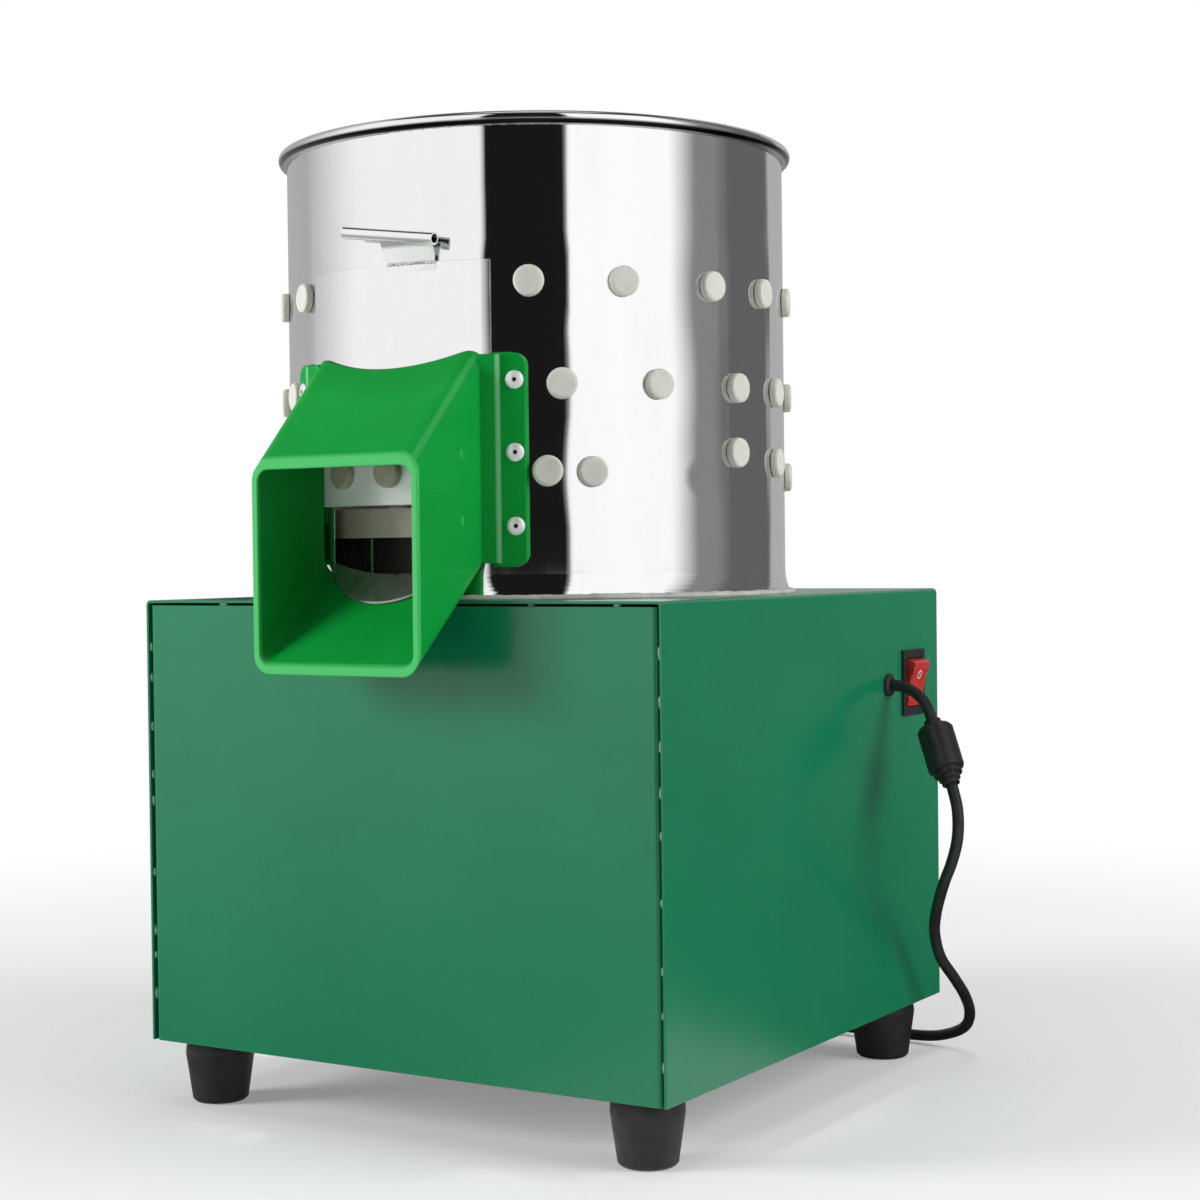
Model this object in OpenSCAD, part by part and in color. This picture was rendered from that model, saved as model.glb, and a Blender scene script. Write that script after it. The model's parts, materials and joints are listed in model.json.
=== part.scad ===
// Drum-type poultry plucker on a painted base box, all sizes in millimetres.
// Origin on the floor under the drum axis, front at -Y, switch side at +X, up at +Z.

/* [Base box] */
// Width of the base box
base_w = 354; // [330:1:380]
// Depth of the base box
base_d = 354; // [345:1:390]
// Height of the base box without feet
base_h = 262; // [250:1:300]
// Thickness of the base sheet
sheet_t = 1.5; // [1:0.1:2]
// Outside bend radius of the wrap
bend_r = 3; // [2.5:0.5:6]
// Distance from the drum wall to the front face of the box
drum_edge = 7; // [7:0.5:10]
// Gap round the set-in front and back panels
panel_gap = 1.5; // [0.8:0.1:1.8]
// Outside radius of the folded panel edges
fold_r = 3; // [2.5:0.5:4]

/* [Feet] */
// Height of the rubber feet
foot_h = 38; // [30:1:45]
// Diameter of a foot at its top
foot_top_d = 40; // [36:1:44]
// Diameter of a foot at the floor
foot_low_d = 33; // [28:1:36]
// Distance of a foot centre from the box edges
foot_inset = 28; // [26:1:34]

/* [Drum] */
// Outside diameter of the drum
drum_od = 300; // [290:1:306]
// Height of the drum above the box
drum_h = 266; // [255:1:300]
// Thickness of the drum sheet
drum_t = 1; // [0.8:0.1:1.5]
// Diameter of the rolled rim
rim_d = 7.2; // [6:0.2:9]

/* [Fingers] */
// Diameter of a finger head
head_d = 17; // [16:0.5:19]
// Thickness of a finger head
head_h = 4.5; // [4:0.5:6]
// Length of a finger inside the wall
finger_len = 56; // [48:1:58]

/* [Chute] */
// Width of the chute at its lip
lip_w = 112; // [104:1:116]
// Height of the chute at its lip
lip_h = 117; // [108:1:119]
// How far the lip stands in front of the box
chute_over = 45; // [40:1:50]
// Thickness of the chute wall
chute_t = 3.6; // [3:0.2:4.2]

/* [Gate] */
// Travel of the lift gate
gate_lift = 30; // [20:1:31]
// Width of the gate handle
handle_w = 62; // [50:1:70]

/* [Turntable] */
// Gap between turntable and drum wall
table_gap = 7; // [5:1:10]
// Thickness of the turntable sheet
table_t = 2; // [1.5:0.5:3]
// Depth of the turned-down turntable rim
table_rim = 18; // [14:1:20]

/* [Drive] */
// Pitch diameter of the driven pulley
driven_pd = 144; // [132:6:150]
// Speed ratio of the belt drive
ratio = 3; // [2.5:0.5:3]
// Distance between spindle and motor shaft
motor_dist = 118; // [116:1:120]

/* [Cord] */
// Diameter of the cord
cord_d = 7; // [6:0.5:7]

/* [Hidden] */
$fn = 48;
seat = 0.15;
run = 0.06;
side_x = base_w / 2;
z_deck = foot_h + base_h;
drum_r = drum_od / 2;
drum_ri = drum_r - drum_t;
y_front = -drum_r - drum_edge;
y_back = y_front + base_d;
drum_forward = (y_front + y_back) / 2;
chute_reach = chute_over - y_front;
fold_d = 2 * fold_r + 0.5;
notch = panel_gap + fold_r + 1;

// Finger sizes
head_r = head_d / 2;
neck_r = 6.2;
hole_r = neck_r + 0.1;
shoulder_r = 9.2;
wall_sag = drum_ri - sqrt(drum_ri * drum_ri - shoulder_r * shoulder_r);
wall_grip = drum_t + wall_sag + seat;

// Foot of the drum, flared over its joint to the box
flare_out = 3.6;
flare_h = 14;
skirt_r = drum_r + flare_out;
function flare(z) = drum_r + flare_out * pow(1 - z / flare_h, 2);

// Gate and drum cut-out
gate_ri = drum_r + 0.4;
gate_t = 1;
gate_ro = gate_ri + gate_t;
gate_finger_z = 71;
gate_foot = 53;
gate_top = 186;
gate_az = 23.6;
gate_pitch = 13;
cut_w = 2 * ((gate_ro) * sin(gate_pitch) + shoulder_r + 2.5);
cut_low = 14;
cut_top = gate_finger_z + shoulder_r + gate_lift + 2;
roll_r = 3.5;
roll_y = gate_ro + 6;
roll_z = 200.9;
roll_wall = 0.9;
handle_off = 6.5;
handle_tilt = 7.6;
neck_x = [handle_off - 0.09 * handle_w, handle_off + 0.4 * handle_w];

// Chute
chan_r = gate_ro + 0.8;
flange_r0 = drum_r + 0.1;
flange_r1 = flange_r0 + 3.3;
flange_x0 = chan_r * sin(gate_az) + 1;
flange_x1 = flange_r0 * sin(31.3);
flange_low = 18;
flange_top = 135;
lip_low = -39.5;
root_y = drum_r - 12.5;
root_top = 143.5;
root_w = 114;
chute_corner = 11;
top_slope = (root_top - (lip_low + lip_h)) / (chute_reach - root_y);
edge_clear = 0.8;
tongue_out = 16;
low_slope = (edge_clear - lip_low) / (chute_reach + y_front);
half_slope = (root_w - lip_w) / 2 / (chute_reach - root_y);
rivet_az = 28.5;
rivet_zs = [120, 80.5, 40.3];

// Finger stations, angle from the front and height above the box
upper_az = concat([31.6, 51.7, 73.9], [for (i = [0:12]) 93 + 19.87 * i]);
upper_z = 174;
middle_az = concat([38.3, 59.6], [for (i = [0:13]) 82 + 18.67 * i]);
middle_z = 118;
lower_spots = concat([[35.1, 70.3], [44.5, 69.7], [81.7, 81.3], [101, 77]],
  [for (i = [0:10]) [120.2 + 19.4 * i, 70]]);
gate_finger_az = [-gate_pitch, 0, gate_pitch];

// Turntable, hub and spindle
table_z = z_deck + 53;
table_r = drum_ri - table_gap;
floor_z = z_deck + 12;
floor_t = 1;
neck_h = 15;
neck_or = 30;
hub_top = table_z - table_t;
hub_flange_r = 42;
hub_flange_t = 8;
skirt_ri = neck_or + 4;
skirt_ro = skirt_ri + 2;
shaft_r = 10;
tip_r = 8;
outer_ring_r = 80;
inner_ring_r = 54;
sweep_r0 = 93;
sweep_r1 = table_r - 3;
brg_or = 23.5;
brg_w = 14;
housing_top = z_deck - sheet_t;
housing_r = 31;
housing_len = 83;
flange_pcd_r = 46;
up_brg_z = housing_top - 18;
low_brg_z = housing_top - housing_len + 6;
ball_c = 16.8;
ball_r = 3.6;

// Belt drive
motor_pd = driven_pd / ratio;
pulley_w = 20;
belt_z = housing_top - housing_len - 18.5;
groove_hw = 6.5;
groove_tan = tan(18);
belt_play = 0.2;
driven_r = driven_pd / 2 + 5;
motor_pr = motor_pd / 2 + 5;
back_in = y_back - sheet_t;
rail_min = 8;
motor_clear = 1.5;
motor_fin = min(57, back_in - rail_min - motor_clear - driven_r - motor_pr - motor_clear);
motor_y = min(motor_dist, back_in - rail_min - motor_clear - motor_fin);
rail_w = min(19, back_in - motor_y - motor_fin - motor_clear);
motor_r = motor_fin - 3;
rotor_r = motor_r - 20;
motor_pcd_r = motor_r - 12;
front_rail = motor_y - motor_fin - 2 * motor_clear;
tan_a = asin((driven_pd - motor_pd) / 2 / motor_y);
run_len = motor_y * cos(tan_a);
plate_t = 4;
plate_top = belt_z - pulley_w / 2 - 6;
plate_low = plate_top - plate_t;
shell_top = plate_low - 16;
shell_low = shell_top - 68;
cap_r = 20;
cap_x = -88;
cap_y = back_in - rail_w - cap_r - 6.5;

// Switch and cord entry
sw_y = drum_forward + 137;
sw_z = z_deck - 58.5;
sw_w = 32;
sw_h = 41;
sw_t = 1.8;
rock_r = 14.9;
rock_w = 23;
rock_tilt = 11;
rock_x = side_x - 0.6;
cord_y = drum_forward + 101;
cord_z = z_deck - 58.5;
cord_r = cord_d / 2;

// Cord routes, offsets from the side face, the box centre and the floor
lead_r = 30;
lead_turn = 65.5;
lead_lean = 20;
lead_start = [side_x + 3, cord_y, cord_z];
lead_side = [0, -sin(lead_lean), -cos(lead_lean)];
function lead_at(t) = lead_start + lead_r * sin(t) * [1, 0, 0] + lead_r * (1 - cos(t)) * lead_side;
barrel_u = cos(lead_turn) * [1, 0, 0] + sin(lead_turn) * lead_side;
barrel_len = 44.4;
barrel_a = lead_at(lead_turn) + 4 * barrel_u;
barrel_b = barrel_a + barrel_len * barrel_u;
lead_route = concat(
  [[side_x - 14, cord_y, cord_z], [side_x - 6, cord_y, cord_z]],
  [for (i = [0:4]) lead_at(lead_turn * i / 4)],
  [barrel_a]);
coil_turns = 4;
coil_z = cord_r + 1.4;
coil_pitch = cord_d + 0.6;
coil_ri = 34;
coil_c = [side_x - 140, y_back + 16 + coil_ri + coil_pitch * coil_turns / 2];
// Hanging run, out from the side, back from the box centre, per cent of the barrel's height
hang = [
  [55, 77, 93],
  [56, 76, 87],
  [54, 78, 81],
  [48, 84, 74],
  [41, 91, 68],
  [33, 101, 61],
  [26, 111, 54],
  [21, 121, 47],
  [20, 132, 38],
  [24, 144, 30],
  [26, 156, 23]
];
tail_route = concat(
  [barrel_b, barrel_b + 4 * barrel_u],
  [for (h = hang) [side_x + h[0], drum_forward + h[1], h[2] / 100 * barrel_b[2]]],
  [[side_x + 24, y_back - 8, 29],
  [side_x + 16, y_back + 4, 17],
  [side_x + 1, y_back + 12, 9],
  [side_x - 17, y_back + 16, coil_z + 0.1],
  [side_x - 45, y_back + 16, coil_z],
  [side_x - 75, y_back + 16, coil_z],
  [side_x - 107, y_back + 16, coil_z],
  [coil_c[0] + cord_d, y_back + 16, coil_z]]);
plug_route = [
  [coil_c[0] - cord_d, y_back + 16, coil_z + coil_pitch],
  [coil_c[0] - cord_d - 8, y_back + 16, coil_z + coil_pitch],
  [coil_c[0] - 34, y_back + 16, 13.5],
  [coil_c[0] - 52, y_back + 20, 17],
  [coil_c[0] - 66, y_back + 24, 19.2],
  [coil_c[0] - 76, y_back + 24, 19.2]
];
inner_route = [
  [side_x - 15, cord_y, cord_z],
  [side_x - 24, cord_y - 1, cord_z - 3],
  [side_x - 36, cord_y - 3, cord_z - 18],
  [side_x - 46, cord_y - 4, plate_top + 10],
  [side_x - 50, cord_y - 4, plate_low - 12],
  [side_x - 56, motor_y, shell_low + 44],
  [side_x - 72, motor_y, shell_low + 34],
  [motor_fin + 34, motor_y, shell_low + 34],
  [motor_fin + 24, motor_y, shell_low + 34]
];

// Vector and path helpers
function unit(v) = v / norm(v);
function cr(a, b, c, d, t) = 0.5 * ((2 * b) + (c - a) * t + (2 * a - 5 * b + 4 * c - d) * t * t
  + (3 * b - a - 3 * c + d) * t * t * t);
function at(p, i) = p[max(0, min(len(p) - 1, i))];
function smooth(p, n) = concat(
  [for (i = [0:len(p) - 2]) for (k = [0:n - 1]) cr(at(p, i - 1), p[i], p[i + 1], at(p, i + 2), k / n)],
  [p[len(p) - 1]]);
function tangent(p, i) = unit(at(p, i + 1) - at(p, i - 1));
function side0(t) = unit(cross(t, abs(t[2]) < 0.8 ? [0, 0, 1] : [0, 1, 0]));
function sides(p, i = 0, acc = []) = i >= len(p) ? acc :
  let (t = tangent(p, i), s = i == 0 ? side0(t) : unit(acc[i - 1] - (acc[i - 1] * t) * t))
  sides(p, i + 1, concat(acc, [s]));
function length_of(p, i = 0) = i >= len(p) - 1 ? 0 : norm(p[i + 1] - p[i]) + length_of(p, i + 1);

// Round tube along a list of points
module tube(p, r, n) {
  s = sides(p);
  pts = [for (i = [0:len(p) - 1]) let (t = tangent(p, i), b = cross(t, s[i]))
    for (k = [0:n - 1]) p[i] + r * (cos(360 * k / n) * s[i] + sin(360 * k / n) * b)];
  m = len(p);
  quads = [for (i = [0:m - 2]) for (k = [0:n - 1])
    [i * n + k, i * n + (k + 1) % n, (i + 1) * n + (k + 1) % n, (i + 1) * n + k]];
  caps = [[for (k = [n - 1:-1:0]) k], [for (k = [0:n - 1]) (m - 1) * n + k]];
  polyhedron(pts, concat([for (q = quads) [q[3], q[2], q[1], q[0]]], [for (c = caps) [for (j = [len(c) - 1:-1:0]) c[j]]]));
}

// Spiral in, climb, spiral out
function coil_r(t) = coil_ri + coil_pitch * abs(t - coil_turns / 2);
function coil_rise(t) = coil_pitch * max(0, min(1, (t - coil_turns / 2 + 0.25) / 0.5));
function coil_pt(t) = [
  coil_c[0] + coil_r(t) * cos(-90 - 360 * t),
  coil_c[1] + coil_r(t) * sin(-90 - 360 * t),
  coil_z + coil_rise(t)];
coil_n = 24 * coil_turns;
coil_line = [for (i = [0:coil_n]) coil_pt(i / 24)];
coil_path = concat([coil_line[0] + [cord_d, 0, 0]], coil_line, [coil_line[coil_n] - [cord_d, 0, 0]]);
coil_gap = min([for (i = [0:coil_n - 12]) for (j = [i + 12:coil_n]) norm(coil_line[i] - coil_line[j])]) - cord_d;
echo("least gap in the coil", coil_gap);
lead_path = smooth(lead_route, 4);
tail_path = smooth(tail_route, 4);
plug_path = smooth(plug_route, 4);
inner_path = smooth(inner_route, 4);
echo("cord length outside", length_of(lead_path) + norm(barrel_b - barrel_a) + length_of(tail_path)
  + length_of(coil_path) + length_of(plug_path));

// Stand a piece along a line from a to b
module along(a, b) {
  d = b - a;
  translate(a) rotate([0, acos(d[2] / norm(d)), atan2(d[1], d[0])]) children();
}

// Piece of a ring between two angles from the front
module sector(a1, a2) {
  rotate([0, 0, a1 - 90]) rotate_extrude(angle = a2 - a1) children();
}

// Local -Y outward at an angle from the front
module station(az, z) {
  rotate([0, 0, az]) translate([0, 0, z]) children();
}

module radial_hole(az, z, r, r0, r1) {
  station(az, z) rotate([90, 0, 0]) translate([0, 0, r0]) cylinder(h = r1 - r0, r = r);
}

// Panel outline with round top corners
module round_top(w, h, r) {
  translate([-w / 2, 0]) square([w, h - r]);
  translate([-w / 2 + r, 0]) square([w - 2 * r, h]);
  for (s = [-1, 1]) translate([s * (w / 2 - r), h - r]) circle(r);
}

module box_at(x0, x1, y0, y1, z0, z1) {
  translate([x0, y0, z0]) cube([x1 - x0, y1 - y0, z1 - z0]);
}

module hex(af, h) {
  cylinder(h = h, r = af / sqrt(3), $fn = 6);
}

// Rubber plucking finger, wall face at z = 0, stem along +Z
function rib(r, z) = [[r, z], [r + 0.9, z + 1.2], [r + 0.9, z + 3.2], [r, z + 4.4]];
module finger(grip) {
  s0 = grip + 6;
  pitch = (finger_len - s0 - 6) / 5;
  tip = 6.2;
  rotate_extrude($fn = 32) polygon(concat(
    [[0, -head_h], [head_r - 1.6, -head_h], [head_r - 0.4, -head_h + 0.6], [head_r, -head_h + 1.8], [head_r, -seat]],
    [[neck_r, -seat], [neck_r, grip], [shoulder_r, grip], [shoulder_r, grip + 2.6]],
    [for (i = [0:4]) for (q = rib(8 - 0.3 * i, s0 + pitch * i)) q],
    [[tip, finger_len - 4], [tip - 1, finger_len - 1.6], [tip - 3, finger_len - 0.3], [0, finger_len]]));
}

module wall_finger(az, z, r, grip) {
  station(az, z_deck + z) translate([0, -r, 0]) rotate([-90, 0, 0]) finger(grip);
}

module body_wrap() {
  color([0.12, 0.45, 0.3]) difference() {
    translate([0, y_back, foot_h]) rotate([90, 0, 0]) linear_extrude(base_d) difference() {
      round_top(base_w, base_h, bend_r);
      translate([0, -1]) round_top(base_w - 2 * sheet_t, base_h - sheet_t + 1, bend_r - sheet_t);
    }
    translate([0, 0, z_deck - 5]) cylinder(h = 10, r = 22);
    for (a = [45:90:315]) rotate([0, 0, a]) translate([flange_pcd_r, 0, z_deck - 5]) cylinder(h = 10, r = 4.1);
    box_at(side_x - 5, side_x + 5, sw_y - 13.5, sw_y + 13.5, sw_z - 18, sw_z + 18);
    translate([side_x - 5, cord_y, cord_z]) rotate([0, 90, 0]) cylinder(h = 10, r = 5.1);
  }
}

// Panel with its upright edges folded in
module set_panel() {
  w = base_w - 2 * sheet_t - 2 * panel_gap;
  linear_extrude(base_h - sheet_t - panel_gap) difference() {
    round_top(w, fold_d, fold_r);
    translate([0, -1]) round_top(w - 2 * sheet_t, fold_d - sheet_t + 1, fold_r - sheet_t);
  }
}

module front_panel() {
  color([0.15, 0.48, 0.33]) translate([0, y_front + fold_d, foot_h]) rotate([0, 0, 180]) set_panel();
}

module back_panel() {
  color([0.12, 0.45, 0.3]) translate([0, y_back - fold_d, foot_h]) set_panel();
}

module base_frame() {
  x = side_x - sheet_t;
  y0 = y_front + sheet_t;
  y1 = y_back - sheet_t;
  color([0.2, 0.22, 0.22]) difference() {
    union() {
      difference() {
        box_at(-x, x, y0, y1, foot_h, foot_h + 30);
        box_at(-x + 3, x - 3, y0 + 3, y1 - 3, foot_h + 3, foot_h + 31);
        box_at(-x + 30, x - 30, y0 + 30, y1 - 30, foot_h - 1, foot_h + 31);
      }
      for (sx = [-1, 1]) {
        box_at(sx > 0 ? x - 62 : -x + 1, sx > 0 ? x - 1 : -x + 62, y0 + 1, y0 + 62, foot_h, foot_h + 3);
        box_at(sx > 0 ? x - 62 : -x + 1, sx > 0 ? x - 1 : -x + 62, y1 - 62, y1 - 1, foot_h, foot_h + 3);
      }
    }
    for (p = foot_pos) translate([p[0], p[1], foot_h - 1]) cylinder(h = 6, r = 4.1);
    for (sx = [-1, 1]) {
      box_at(sx > 0 ? x - notch : -x - 1, sx > 0 ? x + 1 : -x + notch, y0 - 1, y0 + fold_d, foot_h - 1, foot_h + 31);
      box_at(sx > 0 ? x - notch : -x - 1, sx > 0 ? x + 1 : -x + notch, y1 - fold_d, y1 + 1, foot_h - 1, foot_h + 31);
    }
  }
}

foot_pos = [for (sy = [-1, 1]) for (sx = [-1, 1])
  [sx * (side_x - foot_inset), drum_forward + sy * (base_d / 2 - foot_inset)]];
foot_names = ["foot_front_left", "foot_front_right", "foot_back_left", "foot_back_right"];

module foot(i) {
  a = foot_top_d / 2;
  b = foot_low_d / 2;
  color([0.08, 0.08, 0.08]) translate([foot_pos[i][0], foot_pos[i][1], 0]) rotate_extrude() polygon([
    [10, 0], [b - 1.5, 0], [b, 1.5], [a, foot_h * 0.68], [a + 0.4, foot_h * 0.76], [a + 0.2, foot_h * 0.84],
    [a - 1, foot_h], [4.1, foot_h], [4.1, 14], [10, 14]]);
}

module foot_fixings() {
  color([0.6, 0.6, 0.62]) for (p = foot_pos) translate([p[0], p[1], 0]) {
    translate([0, 0, 12.4]) cylinder(h = 1.6, r = 9);
    translate([0, 0, 7]) hex(13, 5.4);
    translate([0, 0, 12]) cylinder(h = foot_h - 2, r = 4);
    translate([0, 0, foot_h + 3]) hex(13, 6.5);
  }
}

module drum_shell() {
  r = drum_r;
  color([0.8, 0.82, 0.84]) translate([0, 0, z_deck]) difference() {
    rotate_extrude($fn = 96) {
      polygon(concat(
        [for (i = [0:6]) [flare(flare_h * i / 6), flare_h * i / 6]],
        [[r, drum_h - rim_d / 2], [drum_ri, drum_h - rim_d / 2]],
        [for (i = [6:-1:0]) [flare(flare_h * i / 6) - drum_t, flare_h * i / 6]]));
      translate([r + 1.4, drum_h - rim_d / 2]) circle(rim_d / 2, $fn = 24);
    }
    for (a = upper_az) radial_hole(a, upper_z, hole_r, drum_ri - 8, drum_r + 8);
    for (a = middle_az) radial_hole(a, middle_z, hole_r, drum_ri - 8, drum_r + 8);
    for (p = lower_spots) radial_hole(p[0], p[1], hole_r, drum_ri - 8, drum_r + 8);
    for (s = [-1, 1]) for (z = rivet_zs) radial_hole(s * rivet_az, z, 2.45, drum_ri - 8, drum_r + 8);
    box_at(-cut_w / 2, cut_w / 2, -drum_r - 9, -drum_r + 40, cut_low, cut_top);
  }
}

module drum_floor() {
  r = drum_ri - 0.1;
  color([0.75, 0.77, 0.79]) rotate_extrude($fn = 96) polygon([
    [neck_or - 1, floor_z - floor_t], [r - 1, floor_z - floor_t], [r - 1, z_deck], [r, z_deck],
    [r, floor_z], [neck_or, floor_z], [neck_or, floor_z + neck_h], [neck_or - 1, floor_z + neck_h]]);
}

module drum_seal() {
  r = skirt_r + 0.1;
  color([0.85, 0.85, 0.82]) translate([0, 0, z_deck]) rotate_extrude($fn = 96) polygon(concat(
    [[r + 3, 0], [r + 2.4, 1.6], [r + 1.2, 2.8], [r, 3.2]],
    [for (z = [3.2, 1.6, 0]) [flare(z) + 0.1, z]]));
}

module drum_fingers_upper() {
  color([0.82, 0.8, 0.72]) for (a = upper_az) wall_finger(a, upper_z, drum_r, wall_grip);
}

module drum_fingers_middle() {
  color([0.82, 0.8, 0.72]) for (a = middle_az) wall_finger(a, middle_z, drum_r, wall_grip);
}

module drum_fingers_lower() {
  color([0.82, 0.8, 0.72]) for (p = lower_spots) wall_finger(p[0], p[1], drum_r, wall_grip);
}

// Section of the chute at a distance in front of the drum axis, drawn in by d
module chute_ring(y, d) {
  hw = lip_w / 2 + half_slope * (chute_reach - y) - d;
  zt = lip_low + lip_h + top_slope * (chute_reach - y) - d * 1.37;
  zb = lip_low + low_slope * (chute_reach - y) + d * 1.3;
  c = chute_corner - d;
  for (sx = [-1, 1]) for (z = [zt - c, zb + c])
    translate([sx * (hw - c), -y, z]) rotate([90, 0, 0]) cylinder(h = 0.02, r = c, $fn = 32);
}

module flange_outline() {
  r = 7;
  for (s = [-1, 1]) mirror([s < 0 ? 1 : 0, 0]) {
    translate([flange_x0, flange_low]) square([flange_x1 - flange_x0 - r, flange_top - flange_low]);
    translate([flange_x0, flange_low + r]) square([flange_x1 - flange_x0, flange_top - flange_low - 2 * r]);
    for (z = [flange_low + r, flange_top - r]) translate([flange_x1 - r, z]) circle(r);
  }
}

module chute() {
  color([0.07, 0.58, 0.22]) translate([0, 0, z_deck]) difference() {
    union() {
      difference() {
        union() {
          hull() {
            chute_ring(chute_reach, 0);
            chute_ring(124, 0);
          }
          for (s = [-1, 1]) sector(s > 0 ? 20 : -25.6, s > 0 ? 25.6 : -20)
            translate([chan_r - 3, flange_low + 2]) square([6.2, flange_top - flange_low - 3]);
        }
        hull() {
          chute_ring(chute_reach + 4, chute_t);
          chute_ring(122, chute_t);
        }
        translate([0, 0, -60]) cylinder(h = 300, r = chan_r, $fn = 96);
        translate([0, 0, -60]) cylinder(h = 70.4, r = skirt_r + 0.4, $fn = 96);
        translate([0, 0, -60]) cylinder(h = 63.8, r = skirt_r + 3.8, $fn = 96);
      }
      for (s = [-1, 1]) sector(s > 0 ? 21.4 : -24.6, s > 0 ? 24.6 : -21.4)
        translate([flange_r0 + 0.2, gate_foot - 9.3]) square([chan_r - flange_r0 + 0.8, 9]);
      intersection() {
        translate([0, 0, flange_low - 5]) difference() {
          cylinder(h = flange_top - flange_low + 10, r = flange_r1, $fn = 96);
          translate([0, 0, -1]) cylinder(h = 200, r = flange_r0, $fn = 96);
        }
        translate([0, -100, 0]) rotate([90, 0, 0]) linear_extrude(80) flange_outline();
      }
    }
    for (s = [-1, 1]) for (z = rivet_zs) radial_hole(s * rivet_az, z, 2.5, drum_r - 10, drum_r + 15);
  }
}

module chute_rivets() {
  color([0.9, 0.9, 0.92]) for (s = [-1, 1]) for (z = rivet_zs)
    station(s * rivet_az, z_deck + z) rotate([90, 0, 0]) rotate_extrude($fn = 32) polygon([
      [1.2, flange_r1 - 2], [0, flange_r1 - 2], [0, drum_ri - 3], [3, drum_ri - 3], [3.8, drum_ri - 2], [3.6, drum_ri - 0.3],
      [2.4, drum_ri - 0.2], [2.4, flange_r1 + 0.05], [5, flange_r1 + 0.05], [5, flange_r1 + 0.6],
      [3.6, flange_r1 + 1.4], [1.9, flange_r1 + 1.8], [1.2, flange_r1 + 1.7]]);
}

module outlet_tongue() {
  a = atan(low_slope) + 2;
  color([0.7, 0.72, 0.74]) difference() {
    intersection() {
      translate([0, -drum_r, z_deck + cut_low + 1]) rotate([a, 0, 0]) translate([-cut_w / 2 + 2, -60, -1])
        cube([cut_w - 4, 80, 1]);
      translate([0, -tongue_out + 58 - drum_r, z_deck - 40]) cylinder(h = 100, r = 58);
    }
    translate([0, 0, z_deck - 50]) cylinder(h = 120, r = drum_r + 0.1, $fn = 96);
  }
}

// Grip rolled from sheet, open at both ends, on a short neck
module grip() {
  translate([handle_off, -roll_y, roll_z]) rotate([0, 90 + handle_tilt, 0]) difference() {
    translate([0, 0, -handle_w / 2]) cylinder(h = handle_w, r = roll_r);
    translate([0, 0, -handle_w]) cylinder(h = 2 * handle_w, r = roll_r - roll_wall);
  }
  sector(asin(neck_x[0] / gate_ro), asin(neck_x[1] / gate_ro)) polygon([
    [gate_ri, gate_top - 5], [gate_ro, gate_top - 5], [gate_ro + 0.3, gate_top - 1.2], [roll_y + 1.9, roll_z - 1.7],
    [roll_y + 1.2, roll_z - 1], [gate_ri + 0.2, gate_top + 0.6], [gate_ri, gate_top - 0.6]]);
}

module gate_plate() {
  color([0.8, 0.82, 0.84]) translate([0, 0, z_deck]) difference() {
    union() {
      sector(-gate_az, gate_az) translate([gate_ri, gate_foot]) square([gate_t, gate_top - gate_foot]);
      grip();
    }
    for (a = gate_finger_az) radial_hole(a, gate_finger_z, hole_r, drum_ri - 5, gate_ro + 5);
  }
}

module gate_fingers() {
  color([0.82, 0.8, 0.72]) for (a = gate_finger_az)
    wall_finger(a, gate_finger_z, gate_ro, gate_t + wall_sag + seat);
}

function ring_xy(n, r, a0) = [for (i = [0:n - 1]) [r * cos(a0 + 360 * i / n), r * sin(a0 + 360 * i / n)]];
table_spots = concat(ring_xy(9, outer_ring_r, 0), ring_xy(5, inner_ring_r, 12));
hub_spots = ring_xy(4, 26, 45);
sweep_a = [20, 140, 260];
sweep_spots = [for (a = sweep_a) for (r = [sweep_r0 + 10, sweep_r1 - 10])
  [r * cos(a) - 7 * sin(a), r * sin(a) + 7 * cos(a)]];

module turntable() {
  color([0.78, 0.8, 0.82]) difference() {
    rotate_extrude($fn = 96) polygon([[tip_r + run, table_z - table_t], [table_r - 1.6, table_z - table_t],
      [table_r - 1.6, table_z - table_rim], [table_r, table_z - table_rim], [table_r, table_z - 1.6],
      [table_r - 1.6, table_z], [tip_r + run, table_z]]);
    for (p = table_spots) translate([p[0], p[1], table_z - 9]) cylinder(h = 18, r = hole_r);
    for (p = hub_spots) translate([p[0], p[1], table_z - 9]) cylinder(h = 18, r = 3.1);
    for (p = sweep_spots) translate([p[0], p[1], table_z - 9]) cylinder(h = 18, r = 2.6);
  }
}

module turntable_fingers() {
  color([0.82, 0.8, 0.72]) for (p = table_spots)
    translate([p[0], p[1], table_z - table_t]) finger(table_t + seat);
}

module turntable_hub() {
  f = hub_top - hub_flange_t;
  color([0.45, 0.46, 0.48]) difference() {
    rotate_extrude() polygon([[shaft_r + run, f - 20], [18, f - 20], [18, f], [skirt_ri, f], [skirt_ri, floor_z + 6],
      [skirt_ro, floor_z + 6], [skirt_ro, f], [hub_flange_r, f], [hub_flange_r, hub_top], [shaft_r + run, hub_top]]);
    for (p = hub_spots) translate([p[0], p[1], f - 1]) cylinder(h = 20, r = 3.05);
  }
}

module hub_bolts() {
  color([0.7, 0.7, 0.72]) for (p = hub_spots) translate([p[0], p[1], 0]) {
    translate([0, 0, table_z]) hex(10, 4);
    translate([0, 0, hub_top - hub_flange_t]) cylinder(h = hub_flange_t + table_t, r = 3);
  }
}

module table_nut() {
  color([0.75, 0.75, 0.77]) difference() {
    translate([0, 0, table_z]) {
      cylinder(h = 2, r = 15);
      translate([0, 0, 2]) hex(24, 11);
    }
    translate([0, 0, table_z - 1]) cylinder(h = 20, r = tip_r + 0.05);
  }
}

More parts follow.
